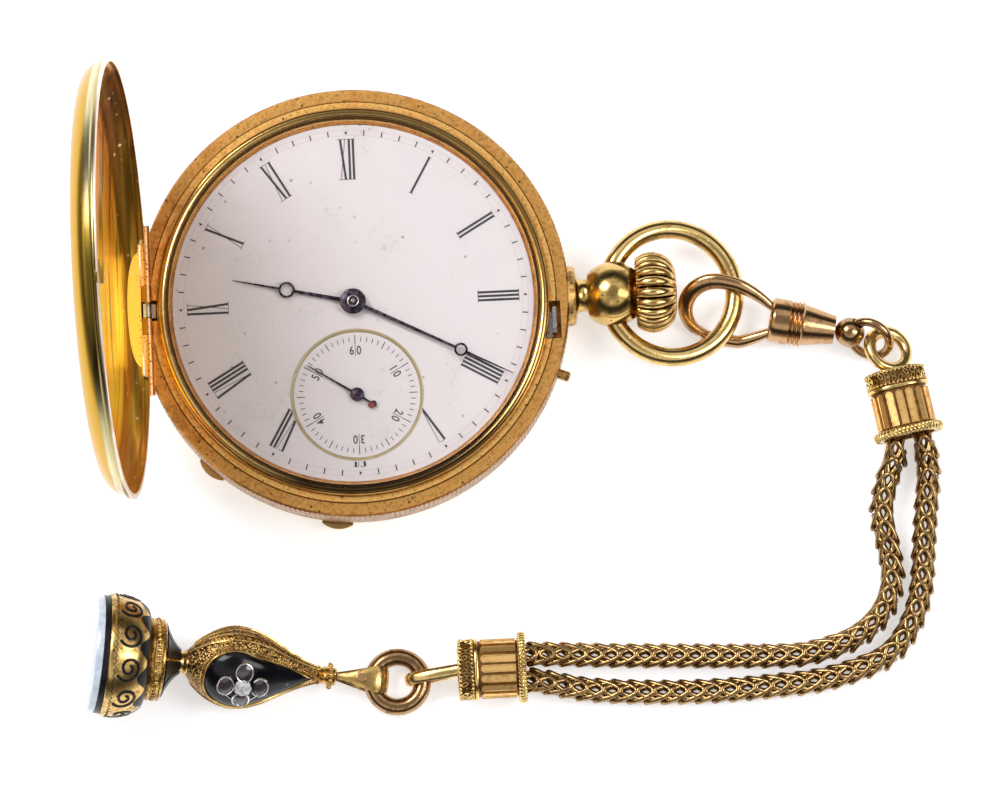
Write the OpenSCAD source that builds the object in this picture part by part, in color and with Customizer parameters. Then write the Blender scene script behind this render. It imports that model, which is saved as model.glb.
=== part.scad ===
// Full hunter pocket watch with its clip, double chain and seal fob
// Origin: centre of the flat of the back cover, +X to the crown, +Y to 12 o'clock, +Z out of the dial
// The front cover is drawn open, the back cover and the inner cover are drawn closed

/* [Case] */
// Outer diameter of the case middle
case_d = 50; // [45:0.5:56]
// Height of the case middle between its two covers
band_h = 6.25; // [6.2:0.05:7]
// Depth of the front cover, from its rim to the top of its dome
lid_depth = 4; // [3.6:0.1:5]
// Depth of the back cover, from its rim to its flat
back_depth = 2.3; // [2.2:0.1:3.2]
// Diameter of the flat that the watch lies on
back_flat_d = 30; // [24:1:34]
// Sheet thickness of both covers
cover_wall = 0.5; // [0.4:0.05:0.6]
// Sheet thickness of the inner cover
cuvette_t = 0.35; // [0.3:0.05:0.4]
// Angle that the front cover springs open to
lid_open = 93; // [88:1:100]
// Seam between a closed cover and the case middle
seam = 0.05; // [0.03:0.01:0.1]

/* [Cover hinges] */
// Diameter of the hinge barrels
hinge_d = 1.2; // [1:0.1:1.3]
// Diameter of the hinge pins
hinge_pin_d = 0.6; // [0.4:0.05:0.7]
// Distance of a hinge axis inside the edge of the case
hinge_inset = 1.2; // [1.1:0.05:1.3]
// Length of each long knuckle of the front hinge
front_knuckle = 7.1; // [6:0.1:7.5]
// Length of each short knuckle of the front hinge
lid_knuckle = 1.9; // [1.5:0.1:2.2]
// Gap for the spring in the middle of the front hinge
hinge_gap = 1.8; // [1.5:0.1:2]
// Length of each knuckle of the back hinge
back_knuckle = 2.8; // [2:0.1:3.2]

/* [Bezel and crystal] */
// Width of the rim outside the bezel
bezel_inset = 2.3; // [2.25:0.05:2.5]
// Height of the bezel above the case middle
bezel_rise = 1.05; // [0.8:0.05:1.2]
// Width of the bezel outside the crystal
crystal_inset = 1; // [0.95:0.05:1.2]
// Thickness of the crystal
crystal_t = 0.4; // [0.3:0.05:0.5]
// Height of the dome of the crystal
crystal_rise = 1.2; // [0.8:0.1:1.5]

/* [Dial and hands] */
// Width of the bezel outside the edge of the dial
dial_inset = 1.8; // [1.7:0.05:2.2]
// Thickness of the dial
dial_t = 0.45; // [0.35:0.05:0.5]
// Diameter of the seconds dial
seconds_d = 15; // [12:0.5:16]
// Depth that the seconds dial is sunk
seconds_sink = 0.2; // [0.1:0.05:0.25]
// Length of the hour hand
hour_len = 14.2; // [11:0.1:15]
// Distance of the minute hand's point from the edge of the dial
minute_gap = 0.6; // [0.4:0.1:3]
// Length of the seconds hand
seconds_len = 6.7; // [5:0.1:7]
// Hour that the hands show
shown_hour = 9; // [0:1:11]
// Minutes that the hands show
shown_minute = 19.5; // [0:0.5:59.5]
// Angle that the hour hand has slipped ahead
hour_lead = 3; // [0:0.5:5]
// Seconds that the hands show
shown_second = 50.5; // [0:0.5:59.5]

/* [Pendant, crown and bow] */
// Height of the crown's axis above the table
pendant_z = 5.6; // [5.4:0.1:5.9]
// Distance of the centre of the pendant ball from the case
ball_out = 5.1; // [5:0.1:6]
// Diameter of the pendant ball
ball_d = 7.6; // [7:0.1:8]
// Diameter of the pendant neck
neck_d = 3.7; // [3.4:0.1:4.2]
// Diameter of the crown over its ribs
crown_d = 9.4; // [9:0.1:9.8]
// Length of the crown
crown_len = 4.7; // [4.5:0.1:5.2]
// Number of ribs on the crown
crown_ribs = 20; // [16:2:24]
// Travel of the crown when it is pressed
crown_travel = 0.8; // [0.4:0.1:0.9]
// Diameter of the winding stem
stem_d = 1.5; // [1.3:0.1:1.6]
// Diameter of the bow's wire
bow_wire = 2.2; // [2:0.1:2.4]
// Radius of the bow along the middle of its wire
bow_r = 7.55; // [7.4:0.05:8]
// Distance from the bow's pivot to the centre of its ring
bow_offset = 6.95; // [6.9:0.05:7.4]
// Diameter of the setting pin
set_pin_d = 1.2; // [1:0.1:1.4]
// Length that the setting pin stands out of the case
set_pin_out = 1.4; // [1:0.1:1.8]
// Direction of the setting pin, from the crown
set_pin_angle = -21; // [-24:1:-18]

/* [Movement] */
// Width of the bezel outside the main plate
plate_inset = 2.1; // [2.05:0.05:2.2]
// Thickness of the main plate
plate_t = 1; // [0.8:0.1:1.1]
// Thickness of the bridges
bridge_t = 0.5; // [0.4:0.05:0.55]
// Thickness of the wheels
wheel_t = 0.2; // [0.15:0.05:0.25]
// Diameter of the balance
balance_d = 13; // [11:0.5:13]
// Teeth of the barrel and of the centre wheel
big_teeth = 80; // [80:10:80]

/* [Clip] */
// Height of the clip's axis above the table
clip_z = 2.8; // [2.7:0.05:3]
// Diameter of the clip's wire
clip_wire = 1.2; // [1:0.05:1.25]
// Half width of the clip's loop along its wire
clip_a = 3.4; // [3.3:0.05:3.6]
// Roll of the loop out of the table's plane
clip_roll = 36; // [35:1:38]
// Largest diameter of the clip's barrel
barrel_d = 5.3; // [4.6:0.1:5.5]
// Length of the clip's barrel
barrel_len = 7.7; // [7.5:0.1:8]
// Diameter of the swivel ball
swivel_d = 3.5; // [3.3:0.1:3.8]

/* [Chain and caps] */
// Width of one chain strand
strand_d = 2.8; // [2.4:0.1:3]
// Width of an end cap
cap_w = 6.6; // [6.2:0.1:7]
// Thickness of an end cap
cap_t = 5; // [4.6:0.1:5.4]
// Length of an end cap
cap_len = 8; // [7:0.1:8.5]
// Height of the moulded rim over the side of the cap
cap_rim = 0.8; // [0.5:0.05:0.9]
// Number of flutes round a cap's long side
cap_flutes = 5; // [4:1:6]

/* [Fob] */
// Wire diameter of the jump ring
jump_wire = 2; // [1.6:0.1:2.1]
// Radius of the jump ring along the middle of its wire
jump_r = 2.9; // [2.8:0.1:3.1]
// Largest width of the pear body
pear_w = 10; // [9:0.2:10.4]
// Thickness of the pear body
pear_t = 8.2; // [7:0.2:8.6]
// Diameter of the seal
seal_d = 14.2; // [13:0.2:14.6]

/* [Hidden] */
$fn = 64;

// Heights of the case, counted from the flat of the back
case_r = case_d / 2;
bezel_d = case_d - 2 * bezel_inset;
crystal_d = bezel_d - 2 * crystal_inset;
dial_d = bezel_d - 2 * dial_inset;
plate_d = bezel_d - 2 * plate_inset;
cuvette_z = back_depth + seam;
cuvette_sink = 0.3;
band_z0 = cuvette_z + cuvette_t + seam;
band_z1 = band_z0 + band_h;
lid_z = band_z1 + seam;

// Hinge axes and the flat walls that the covers have beside them
hinge_r = hinge_d / 2;
hinge_pos = case_r - hinge_inset;
hinge_fit = 0.05;
front_hinge_z = band_z1 + 0.1;
rear_hinge_z = cuvette_z + cuvette_t / 2;
chord_wall = 0.3;
chord_outer = hinge_pos - hinge_r - 0.05;
chord_inner = chord_outer - chord_wall;

// Rim steps of the case middle
rim_land_in = case_r - 1.45;
lip_h = 0.15;
seat_fit = 0.05;
bezel_r = bezel_d / 2;
bezel_seat_depth = 0.75;
bore_r = bezel_r - 0.4;

// Movement heights, from the main plate down to the bridges
plate_z = band_z1 - 2.7;
dial_z = plate_z + plate_t + 0.7;
dial_top = dial_z + dial_t;
ledge_t = 0.5;
plate_flange_t = 0.45;
plate_flange_r = plate_d / 2 + 0.6;
bridge_z = plate_z - 2.9;
bridge_top = bridge_z + bridge_t;

// Springs in the space between the movement and the case middle
spring_in = plate_d / 2 + 0.9;
spring_t = 0.5;
spring_z0 = 3.5;
spring_z1 = 5.4;

// Train: wheel teeth, modules and arbors, in step with the main plate
train_size = plate_d / 41.2;
arbor_d = 0.5;
centre_mod = 0.15 * train_size;
third_mod = 0.14 * train_size;
fourth_mod = 0.12 * train_size;
barrel_mod = 0.2 * train_size;
third_teeth = 75;
fourth_teeth = 80;
pinion_teeth = 10;
centre_leaves = 12;
escape_leaves = 8;
centre_pos = [0, 0];
fourth_pos = [0, -10.8] * train_size;
centre_gap = (big_teeth + pinion_teeth) * centre_mod / 2;
third_gap = (third_teeth + pinion_teeth) * third_mod / 2;
third_y = -(pow(centre_gap, 2) - pow(third_gap, 2) + pow(fourth_pos[1], 2)) / (2 * abs(fourth_pos[1]));
third_pos = [sqrt(pow(centre_gap, 2) - pow(third_y, 2)), third_y];
escape_pos = fourth_pos + polar((fourth_teeth + escape_leaves) * fourth_mod / 2, 200);
pallet_pos = escape_pos + polar(3.6, 150);
balance_pos = pallet_pos + [-1.8207, 4.1059];
barrel_pos = polar((big_teeth + centre_leaves) * barrel_mod / 2, 70);
centre_z = bridge_z + 2.2;
third_z = bridge_z + 1.5;
fourth_z = bridge_z + 0.8;
escape_z = bridge_z + 1.5;
barrel_z = bridge_z + bridge_t + 0.05;
barrel_h = 1.5;
drum_r = big_teeth * barrel_mod / 2 - 0.6;
drum_wall = 0.4;
balance_z = bridge_z + 0.05;
balance_h = 0.6;
arbor_fit = 0.03;

// Edges of the bridges and the legs that carry them and the balance cock
bridge_edge = 0.3;
bridge_cut = 3.6;
barrel_legs = [[-6, 15.4], [14.5, 9.5], [-12, 6]] * train_size;
train_legs = [[12, -11], [3, -17.9]] * train_size;
cock_leg = balance_pos + [-7.3, 3.5];
leg_r = 1.1;

// Winding wheels under the barrel bridge
ratchet_teeth = 54;
crown_teeth = 40;
winding_mod = barrel_mod;
winding_gap = (ratchet_teeth + crown_teeth) * winding_mod / 2;
crown_wheel_pos = [barrel_pos[0] + sqrt(pow(winding_gap, 2) - pow(barrel_pos[1], 2)), 0];
winding_z = bridge_z - 0.45;
winding_t = 0.4;
winding_leaves = 2 * floor((dial_z - pendant_z) / winding_mod - 0.95);
winding_pinion_r = (winding_leaves / 2 + 0.9) * winding_mod;
winding_pinion_x = crown_wheel_pos[0] + crown_teeth * winding_mod / 2 - 0.1;
crown_wheel_phase = bearing(crown_wheel_pos, barrel_pos) + 180 / crown_teeth;
mesh_offset = crown_wheel_phase - 360 / crown_teeth * round(crown_wheel_phase * crown_teeth / 360);

// Motion work between the plate and the dial
cannon_teeth = 12;
minute_teeth = 36;
minute_leaves = 10;
hour_teeth = 40;
cannon_mod = 0.125;
hour_mod = 0.12;
minute_pos = [(cannon_teeth + minute_teeth) * cannon_mod / 2, 0];
cannon_z = plate_z + plate_t + 0.05;
hour_wheel_z = cannon_z + 0.3;
motion_t = 0.25;
cannon_r = 0.5;
hour_pipe_r = 0.8;
hour_hand_z = dial_top + 0.42;
minute_hand_z = hour_hand_z + 0.33;
hand_t = 0.15;
minute_len = dial_d / 2 - minute_gap;
seconds_hand_z = dial_top + 0.15;
minute_angle = 90 - shown_minute * 6;
hour_angle = 90 - (shown_hour + shown_minute / 60) * 30 - hour_lead;
second_angle = 90 - shown_second * 6;

// Openings in the rim for the two springs
lock_slot_y = -3.2;
lock_slot_l = 4.4;
lock_slot_x0 = bore_r;
lock_slot_x1 = rim_land_in + 0.35;
lock_nose_x = bezel_r + 0.25;
lock_nose_t = 0.45;
lock_nose_l = 3;
lug_x = lock_nose_x + lock_nose_t + 0.06;
lift_slot_w = 2.4;

// Pendant, crown and bow
ball_r = ball_d / 2;
crown_r = crown_d / 2;
ball_x = case_r + ball_out;
crown_x = ball_x + 2.7;
crown_mouth_r = ball_r - 0.15;
stem_fit = 0.05;
bow_pin_r = 0.6;
bow_reach = bow_offset + bow_r;
arm_rise = clip_a * sin(clip_roll);
bow_far_z = clip_z + arm_rise - clip_wire / 2 - 0.05 - bow_wire / 2;
bow_tilt = asin((pendant_z - bow_far_z) / bow_reach);

// Shift of the clip, the chain and the fob when the pendant moves
hang = [ball_x - 30.1, 0, 0];

// Clip axis: a horizontal line that starts at the centre of the loop
clip_origin = hang + [42.3, -2.1, clip_z];
clip_heading = -12;
barrel_s = 6.1;
barrel_r = barrel_d / 2;
swivel_r = swivel_d / 2;
ball_s = barrel_s + barrel_len + swivel_r + 0.05;
ring_wire = 1.05;
ring_r = 2.4;
ring_pos = hang + [59.8, -6.2, clip_z];
arm_x = 2.9;
arm_bend = 1.2;
gate_pin = [7, 1.4];
gate_pin_r = 0.3;
gate_eye_r = 0.7;
gate_eye_t = 1.1;
gate_slot = clip_wire + 0.1;
loop_wire = 1.3;
loop_r = 2.35;
loop_pos = hang + [61.9, -7.6, clip_z];

// End caps: the place of each closed end and the way it points
cap_z = cap_t / 2 + cap_rim;
cap_upper_pos = hang + [62.35, -10.1, cap_z];
cap_upper_heading = -79.7;
cap_lower_pos = hang + [10.1, -42.75, cap_z];
cap_lower_heading = 0;
strand_gap = strand_d + 0.2;
cap_wall = 0.2;
cap_hollow = 1.2;
function at_cap(pos, heading, out, side) = pos + [0, 0, -0.3]
    + (cap_len + out) * [cos(heading), sin(heading), 0]
    + side * strand_gap / 2 * [-sin(heading), cos(heading), 0];

// Wire and shape of one link of the chain
link_wire = strand_d * 0.2;
link_half = (strand_d - link_wire) / 2;
link_rise = link_half * 0.95;
link_reach = strand_d;
link_pitch = strand_d * 0.69;
link_inset = link_wire / 2 + 0.05;

// Routes of the two strands, from the upper cap to the lower cap
outer_route = concat([at_cap(cap_upper_pos, cap_upper_heading, -1.1, 1),
    at_cap(cap_upper_pos, cap_upper_heading, 0.3, 1)],
    [for (p = [[65.7, -20.3, 2.3], [65.8, -22.4, 1.6], [65.3, -26.6, 1.5], [64.8, -31, 1.5], [64.4, -34.6, 1.5],
    [63.6, -37.8, 1.5], [62.2, -40.6, 1.5], [60.4, -42.7, 1.5], [58, -44, 1.5], [55, -45, 1.5],
    [51.6, -45.7, 1.5], [48, -46, 1.5], [42, -46.3, 1.5], [36, -46.3, 1.5], [30, -46, 1.5],
    [25, -45.5, 1.6], [21, -44.7, 2.3]]) hang + p],
    [at_cap(cap_lower_pos, cap_lower_heading, 0.3, -1), at_cap(cap_lower_pos, cap_lower_heading, -1.1, -1)]);
inner_route = concat([at_cap(cap_upper_pos, cap_upper_heading, -1.1, -1),
    at_cap(cap_upper_pos, cap_upper_heading, 0.3, -1)],
    [for (p = [[61.9, -20.5, 2.4], [61, -22.8, 1.7], [60.2, -26.4, 1.5], [60.7, -30.4, 1.5], [61, -33.6, 1.5],
    [60.4, -36.4, 1.5], [58.9, -38.8, 1.5], [56.7, -40.6, 1.5], [54, -41.7, 1.5], [51, -42.4, 1.5],
    [48, -42.6, 1.5], [42, -42.4, 1.5], [36, -42.1, 1.5], [30, -41.8, 1.5], [25, -41.5, 1.6],
    [21, -41.3, 2.3]]) hang + p],
    [at_cap(cap_lower_pos, cap_lower_heading, 0.3, 1), at_cap(cap_lower_pos, cap_lower_heading, -1.1, 1)]);

// Straps round the jump ring: their eyes clear the bend of its wire
strap_t = 0.45;
strap_w = 2.2;
strap_sag = jump_r - jump_wire / 2 - sqrt(pow(jump_r - jump_wire / 2, 2) - pow(strap_w / 2, 2));
strap_eye = jump_wire / 2 + strap_sag / 2 + 0.06;
jump_z = strap_eye + strap_t + 0.06;
jump_pos = hang + [3.08, -43.62, jump_z];
cap_strap_heading = bearing(jump_pos, cap_lower_pos);
cap_strap_run = norm([cap_lower_pos[0] - jump_pos[0], cap_lower_pos[1] - jump_pos[1]]) - jump_r;
cap_strap_rise = atan2(cap_z - jump_z, cap_strap_run);

// Fob axis: a line that starts in the bail and rises until the seal rests on the table
fob_heading = 172.8;
collar_s = 4.3;
collar_len = 1.8;
pear_s = collar_s + collar_len;
pear_len = 15.6;
seal_s = pear_s + pear_len;
seal_neck_len = 1.8;
seal_len = 9.6;
seal_r = seal_d / 2;
stone_t = 1.6;
seal_edge_s = seal_s + seal_len;
fob_lift = atan2(seal_r, seal_edge_s) - asin(jump_z / norm([seal_r, seal_edge_s])) + 0.1;
panel_t = 0.25;
stone_r = 0.75;
panel_s = pear_s + pear_len * 0.58;
flower = concat([[0, 0]], [for (i = [0:3]) polar(1.75, 45 + i * 90)]);
flower_floor = pear_t / 2 - 0.6;

// A point at a distance and an angle from the origin
function polar(r, a) = [r * cos(a), r * sin(a)];

// Points of an arc
function arc_pts(c, r, a0, a1, n) = [for (i = [0:n]) c + polar(r, a0 + (a1 - a0) * i / n)];

// Half section of a cover: rim bead, round shoulder and dome, from the rim to the axis
function shoulder_h(d) = d * 0.8;
function shell_line(r, d, flat_r) = concat(
    [[r, 0], [r, 0.55], [r - 0.2, 0.75], [r - 0.45, 0.8]],
    [for (i = [1:7]) let (t = i * 90 / 7)
        [r - 3.5 + 3 * cos(t), 0.85 + (shoulder_h(d) - 0.85) * sin(t)]],
    [for (i = [1:8]) let (x = (r - 3.5) + (flat_r - r + 3.5) * i / 8,
        k = (x - flat_r) / (r - 3.5 - flat_r)) [x, d - (d - shoulder_h(d)) * k * k]],
    [[0, d]]);

// Outline of a gear with straight-sided teeth, one tooth pointing along +X
function gear_pts(n, m) = [for (i = [0:n - 1]) for (k = [0:3])
    polar(n * m / 2 + (k == 1 || k == 2 ? 0.9 : -1.1) * m, 360 / n * (i + [-0.25, -0.11, 0.11, 0.25][k]))];

// Direction from one arbor to another
function bearing(p, q) = atan2(q[1] - p[1], q[0] - p[0]);

// Half width of the pear at a share of its length
function pear_share(t) = t < 0.32 ? 0.28 + 0.72 * sin(t / 0.32 * 90)
    : t < 0.55 ? 1 - 0.06 * pow((t - 0.32) / 0.23, 2)
    : 0.24 + 0.70 * pow(cos((t - 0.55) / 0.45 * 90), 1.15);

module plate_shape(z, h) {
    translate([0, 0, z]) linear_extrude(h) children();
}

// Sweeps a round section along a route, square to it at each point
function direction(p, i) = let (n = len(p) - 1, v = p[min(i + 1, n)] - p[max(i - 1, 0)]) v / norm(v);
function section(c, v, r, sides) = let (u = cross(v, [0, 0, 1]) / norm(cross(v, [0, 0, 1])), w = cross(v, u))
    [for (k = [0:sides - 1]) c + r * (u * cos(k * 360 / sides) + w * sin(k * 360 / sides))];

// Faces over rings of points, with a flat face at each end
function skin_faces(rings, sides) = concat([[for (k = [0:sides - 1]) k]],
    [for (i = [0:rings - 2]) for (k = [0:sides - 1])
        let (a = i * sides + k, b = i * sides + (k + 1) % sides)
            for (f = [[a, a + sides, b], [b, a + sides, b + sides]]) f],
    [[for (k = [sides - 1:-1:0]) (rings - 1) * sides + k]]);

module tube(route, r, sides) {
    n = len(route);
    points = [for (i = [0:n - 1]) for (q = section(route[i], direction(route, i), r, sides)) q];
    polyhedron(points, skin_faces(n, sides));
}

// Places its children with +X along the clip's axis
module on_clip() {
    translate(clip_origin) rotate([0, 0, clip_heading]) children();
}

// Places its children at the wire of the jump ring, with +X away from the ring and rising
module on_jump(heading, rise) {
    translate(jump_pos) rotate([0, 0, heading]) translate([jump_r, 0, 0]) rotate([0, -rise, 0]) children();
}

module on_fob() {
    on_jump(fob_heading, fob_lift) children();
}

// A strap bent round the jump ring, its two leaves running together towards its root
module strap_outline(length, grow) {
    translate([-strap_sag / 2, 0]) circle(r = strap_eye + grow);
    polygon([[-strap_sag / 2, -strap_eye - grow], [length, -0.35 - grow], [length, 0.35 + grow],
        [-strap_sag / 2, strap_eye + grow]]);
}

module strap(length, root_w) {
    intersection() {
        rotate([90, 0, 0]) translate([0, 0, -strap_w / 2]) linear_extrude(strap_w) difference() {
            strap_outline(length, strap_t);
            strap_outline(length, 0);
        }
        // The strap narrows towards its root
        translate([0, 0, -5]) linear_extrude(10) polygon([[-3, -strap_w], [0, -strap_w / 2],
            [length + 1, -root_w / 2], [length + 1, root_w / 2], [0, strap_w / 2], [-3, strap_w]]);
    }
}

// A ring whose plane holds a level line and is tilted about it
module tilted_ring(p, heading, tilt, r, wire) {
    translate(p) rotate([0, 0, heading]) rotate([tilt, 0, 0])
        rotate_extrude() translate([r, 0]) circle(d = wire, $fn = 32);
}

// One cover with its flat wall beside the hinge, rim at z = 0 and dome towards +Z
module cover_shell(depth, flat_r) {
    difference() {
        rotate_extrude() polygon(concat([[0, 0]], shell_line(case_r - 0.2, depth, flat_r)));
        difference() {
            translate([0, 0, -0.001]) rotate_extrude()
                polygon(concat([[0, 0]], shell_line(case_r - 0.2 - cover_wall, depth - cover_wall, flat_r)));
            translate([-case_d, -case_d, -1]) cube([case_d - chord_inner, case_d * 2, depth + 2]);
        }
        translate([-case_d, -case_d, -1]) cube([case_d - chord_outer, case_d * 2, depth + 2]);
    }
}

// A hinge knuckle along Y with its leaf towards the cover, bored for the pin
module knuckle(y0, len, leaf_t) {
    difference() {
        union() {
            translate([0, y0, 0]) rotate([-90, 0, 0]) cylinder(r = hinge_r, h = len);
            if (leaf_t > 0) translate([0, y0, 0]) cube([hinge_pos - chord_inner, len, leaf_t]);
        }
        translate([0, y0 - 1, 0]) rotate([-90, 0, 0]) cylinder(d = hinge_pin_d, h = len + 2);
    }
}

// Case parts

module case_band() {
    long_y = hinge_gap / 2 + lid_knuckle + hinge_fit;
    rear_half = back_knuckle * 2.5;
    color("goldenrod") {
        difference() {
            rotate_extrude($fn = 128) polygon([[case_r - 0.2, band_z0], [case_r, band_z0 + 0.3],
                [case_r, band_z1 - 0.3], [case_r - 0.2, band_z1], [rim_land_in, band_z1],
                [rim_land_in - 0.1, band_z1 + lip_h], [bezel_r + seat_fit, band_z1 + lip_h],
                [bezel_r + seat_fit, band_z1 - bezel_seat_depth], [bore_r, band_z1 - bezel_seat_depth],
                [bore_r, plate_z], [plate_flange_r - 0.4, plate_z], [plate_flange_r - 0.4, plate_z - ledge_t],
                [bore_r, plate_z - ledge_t], [bore_r, band_z0]]);
            // Flat land beside the front hinge and the gutter for its barrel
            translate([-case_d, -case_r, band_z1]) cube([case_d - chord_inner + 0.1, case_d, 2]);
            translate([-hinge_pos, -long_y, front_hinge_z]) rotate([-90, 0, 0])
                cylinder(r = hinge_r + hinge_fit, h = 2 * long_y);
            // Gutters for the knuckles of the back hinge
            for (x = [-rear_half - hinge_fit, back_knuckle / 2])
                translate([x, hinge_pos, rear_hinge_z]) rotate([0, 90, 0])
                    cylinder(r = hinge_r + hinge_fit, h = 2 * back_knuckle + hinge_fit);
            // Bore for the pin of the front hinge
            translate([-hinge_pos, -case_r, front_hinge_z]) rotate([-90, 0, 0])
                cylinder(d = hinge_pin_d, h = case_d);
            translate([-case_r, hinge_pos, rear_hinge_z]) rotate([0, 90, 0])
                cylinder(d = hinge_pin_d, h = case_d);
            // Slot for the catch and notch for the lift spring
            translate([lock_slot_x0 - 0.8, lock_slot_y - lock_slot_l / 2, spring_z0 - 0.1])
                cube([lock_slot_x1 - lock_slot_x0 + 0.8, lock_slot_l, band_h]);
            translate([-hinge_pos - 0.7, -lift_slot_w / 2, spring_z0 - 0.1])
                cube([hinge_pos + 0.7 - bore_r + 0.8, lift_slot_w, band_h]);
            // Bores for the stem and the setting pin
            translate([bore_r - 3, 0, pendant_z]) rotate([0, 90, 0]) cylinder(d = stem_d + 0.4, h = 8);
            rotate([0, 0, set_pin_angle]) translate([bore_r - 1, 0, spring_z1 - 0.2]) rotate([0, 90, 0])
                cylinder(d = set_pin_d + 2 * stem_fit, h = 6);
        }
        for (side = [-1, 1])
            translate([-hinge_pos, 0, front_hinge_z])
                knuckle(side > 0 ? long_y : -long_y - front_knuckle + hinge_fit, front_knuckle - hinge_fit, 0);
        translate([0, hinge_pos, rear_hinge_z]) rotate([0, 0, -90])
            knuckle(-back_knuckle / 2, back_knuckle, 0);
    }
}

module closed_lid() {
    knuckle_y = hinge_gap / 2 + hinge_fit;
    translate([0, 0, lid_z]) cover_shell(lid_depth, 0.5);
    for (side = [-1, 1])
        translate([-hinge_pos, 0, front_hinge_z])
            knuckle(side > 0 ? knuckle_y : -knuckle_y - lid_knuckle + hinge_fit, lid_knuckle - hinge_fit, 0.5);
    // Lug that enters the slot of the catch
    translate([lug_x, lock_slot_y - 1.3, lid_z]) cube([1.2, 2.6, 0.4]);
    translate([lug_x, lock_slot_y - 1.3, band_z1 - 0.55]) cube([lock_slot_x1 - lug_x - 0.06, 2.6, 0.9]);
}

module front_cover() {
    color("gold") translate([-hinge_pos, 0, front_hinge_z]) rotate([0, -lid_open, 0])
        translate([hinge_pos, 0, -front_hinge_z]) closed_lid();
}

module front_hinge_pin() {
    half = hinge_gap / 2 + lid_knuckle + front_knuckle;
    color("darkgoldenrod") translate([-hinge_pos, -half, front_hinge_z]) rotate([-90, 0, 0])
        cylinder(d = hinge_pin_d, h = 2 * half);
}

module bezel() {
    color("gold") difference() {
        rotate_extrude($fn = 128) polygon(concat(
            [[bezel_r - 0.05, band_z1 - bezel_seat_depth], [bezel_r, band_z1 - bezel_seat_depth + 0.1]],
            arc_pts([bezel_r - 0.55, band_z1 + bezel_rise - 0.55], 0.55, 0, 90, 6),
            [[crystal_d / 2 + 0.05, band_z1 + bezel_rise - 0.1], [crystal_d / 2, band_z1 + 0.35],
            [crystal_d / 2 - 0.3, band_z1 + 0.35], [dial_d / 2 + 0.05, dial_top + 0.15],
            [dial_d / 2 + 0.05, dial_z + 0.1], [bore_r, dial_z + 0.1],
            [bore_r, band_z1 - bezel_seat_depth]]));
    }
}

module crystal() {
    edge = crystal_d / 2;
    z = band_z1 + 0.35;
    color("lightcyan", 0.3) rotate_extrude($fn = 128) polygon(concat(
        [for (i = [0:8]) let (x = edge * i / 8) [x, z + crystal_t + crystal_rise * (1 - pow(i / 8, 2))]],
        [for (i = [8:-1:0]) let (x = edge * i / 8) [x, z + crystal_rise * (1 - pow(i / 8, 2))]]));
}

module rear_knuckles(first, leaf) {
    // Knuckles to the left and right of the middle one, counted outwards
    inner = back_knuckle * (first - 0.5) + hinge_fit;
    for (side = [-1, 1])
        translate([0, hinge_pos, rear_hinge_z]) rotate([0, 0, -90]) difference() {
            union() {
                knuckle(side > 0 ? inner : -inner - back_knuckle + hinge_fit, back_knuckle - hinge_fit, 0);
                translate([0, side > 0 ? inner : -inner - back_knuckle + hinge_fit, leaf[0]])
                    cube([hinge_pos - chord_inner, back_knuckle - hinge_fit, leaf[1]]);
            }
            translate([0, -case_r, 0]) rotate([-90, 0, 0]) cylinder(d = hinge_pin_d, h = case_d);
        }
}

module back_cover() {
    color("goldenrod") {
        translate([0, 0, back_depth]) rotate([0, 0, -90]) mirror([0, 0, 1])
            cover_shell(back_depth, back_flat_d / 2);
        rear_knuckles(2, [-hinge_r, 0.4]);
        thumb_lip(-97, back_depth - 0.75, 0.6);
    }
}

// A small lip for the thumbnail on the edge of a cover
module thumb_lip(angle, z, t) {
    rotate([0, 0, angle]) translate([case_r - 1.2, 0, z]) intersection() {
        translate([0, -1.8, 0]) cube([1.9, 3.6, t]);
        translate([-1.1, 0, 0]) cylinder(r = 3, h = t);
    }
}

module cuvette() {
    r = case_r - 0.6;
    low = cuvette_z - cuvette_sink;
    color("gold") {
        difference() {
            rotate_extrude($fn = 128) polygon([[0, low], [r - 4.6, low], [r - 4.2, cuvette_z], [r, cuvette_z],
                [r, cuvette_z + cuvette_t], [r - 4.3, cuvette_z + cuvette_t], [r - 4.7, low + cuvette_t],
                [0, low + cuvette_t]]);
            translate([-case_d, chord_outer, 0]) cube([case_d * 2, case_d, 5]);
        }
        rear_knuckles(1, [-cuvette_t / 2, cuvette_t]);
        thumb_lip(-134, cuvette_z, cuvette_t);
    }
}

module rear_hinge_pin() {
    half = back_knuckle * 2.5;
    color("darkgoldenrod") translate([-half, hinge_pos, rear_hinge_z]) rotate([0, 90, 0])
        cylinder(d = hinge_pin_d, h = 2 * half);
}

// A flat spring that lies along the case middle
module leaf_spring(a0, a1) {
    rotate([0, 0, a0]) translate([0, 0, spring_z0]) rotate_extrude(angle = a1 - a0)
        translate([spring_in, 0]) square([spring_t, spring_z1 - spring_z0]);
}

module lift_spring() {
    tip_w = hinge_gap - 0.2;
    post_x = bezel_r + 0.15;
    post_t = 0.5;
    finger_z = front_hinge_z - hinge_pin_d / 2 - 0.5;
    color("slategray") {
        leaf_spring(180, 250);
        // Foot through the notch, post beside the bezel and finger under the middle of the hinge
        translate([-post_x - post_t, -tip_w / 2, spring_z0 + 0.1])
            cube([post_x + post_t - spring_in - 0.2, tip_w, spring_z1 - spring_z0 - 0.2]);
        translate([-post_x - post_t, -tip_w / 2, spring_z0 + 0.1])
            cube([post_t, tip_w, finger_z + 0.4 - spring_z0 - 0.1]);
        translate([-hinge_pos - 0.2, -tip_w / 2, finger_z]) cube([hinge_pos + 0.2 - post_x, tip_w, 0.4]);
    }
}

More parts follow.
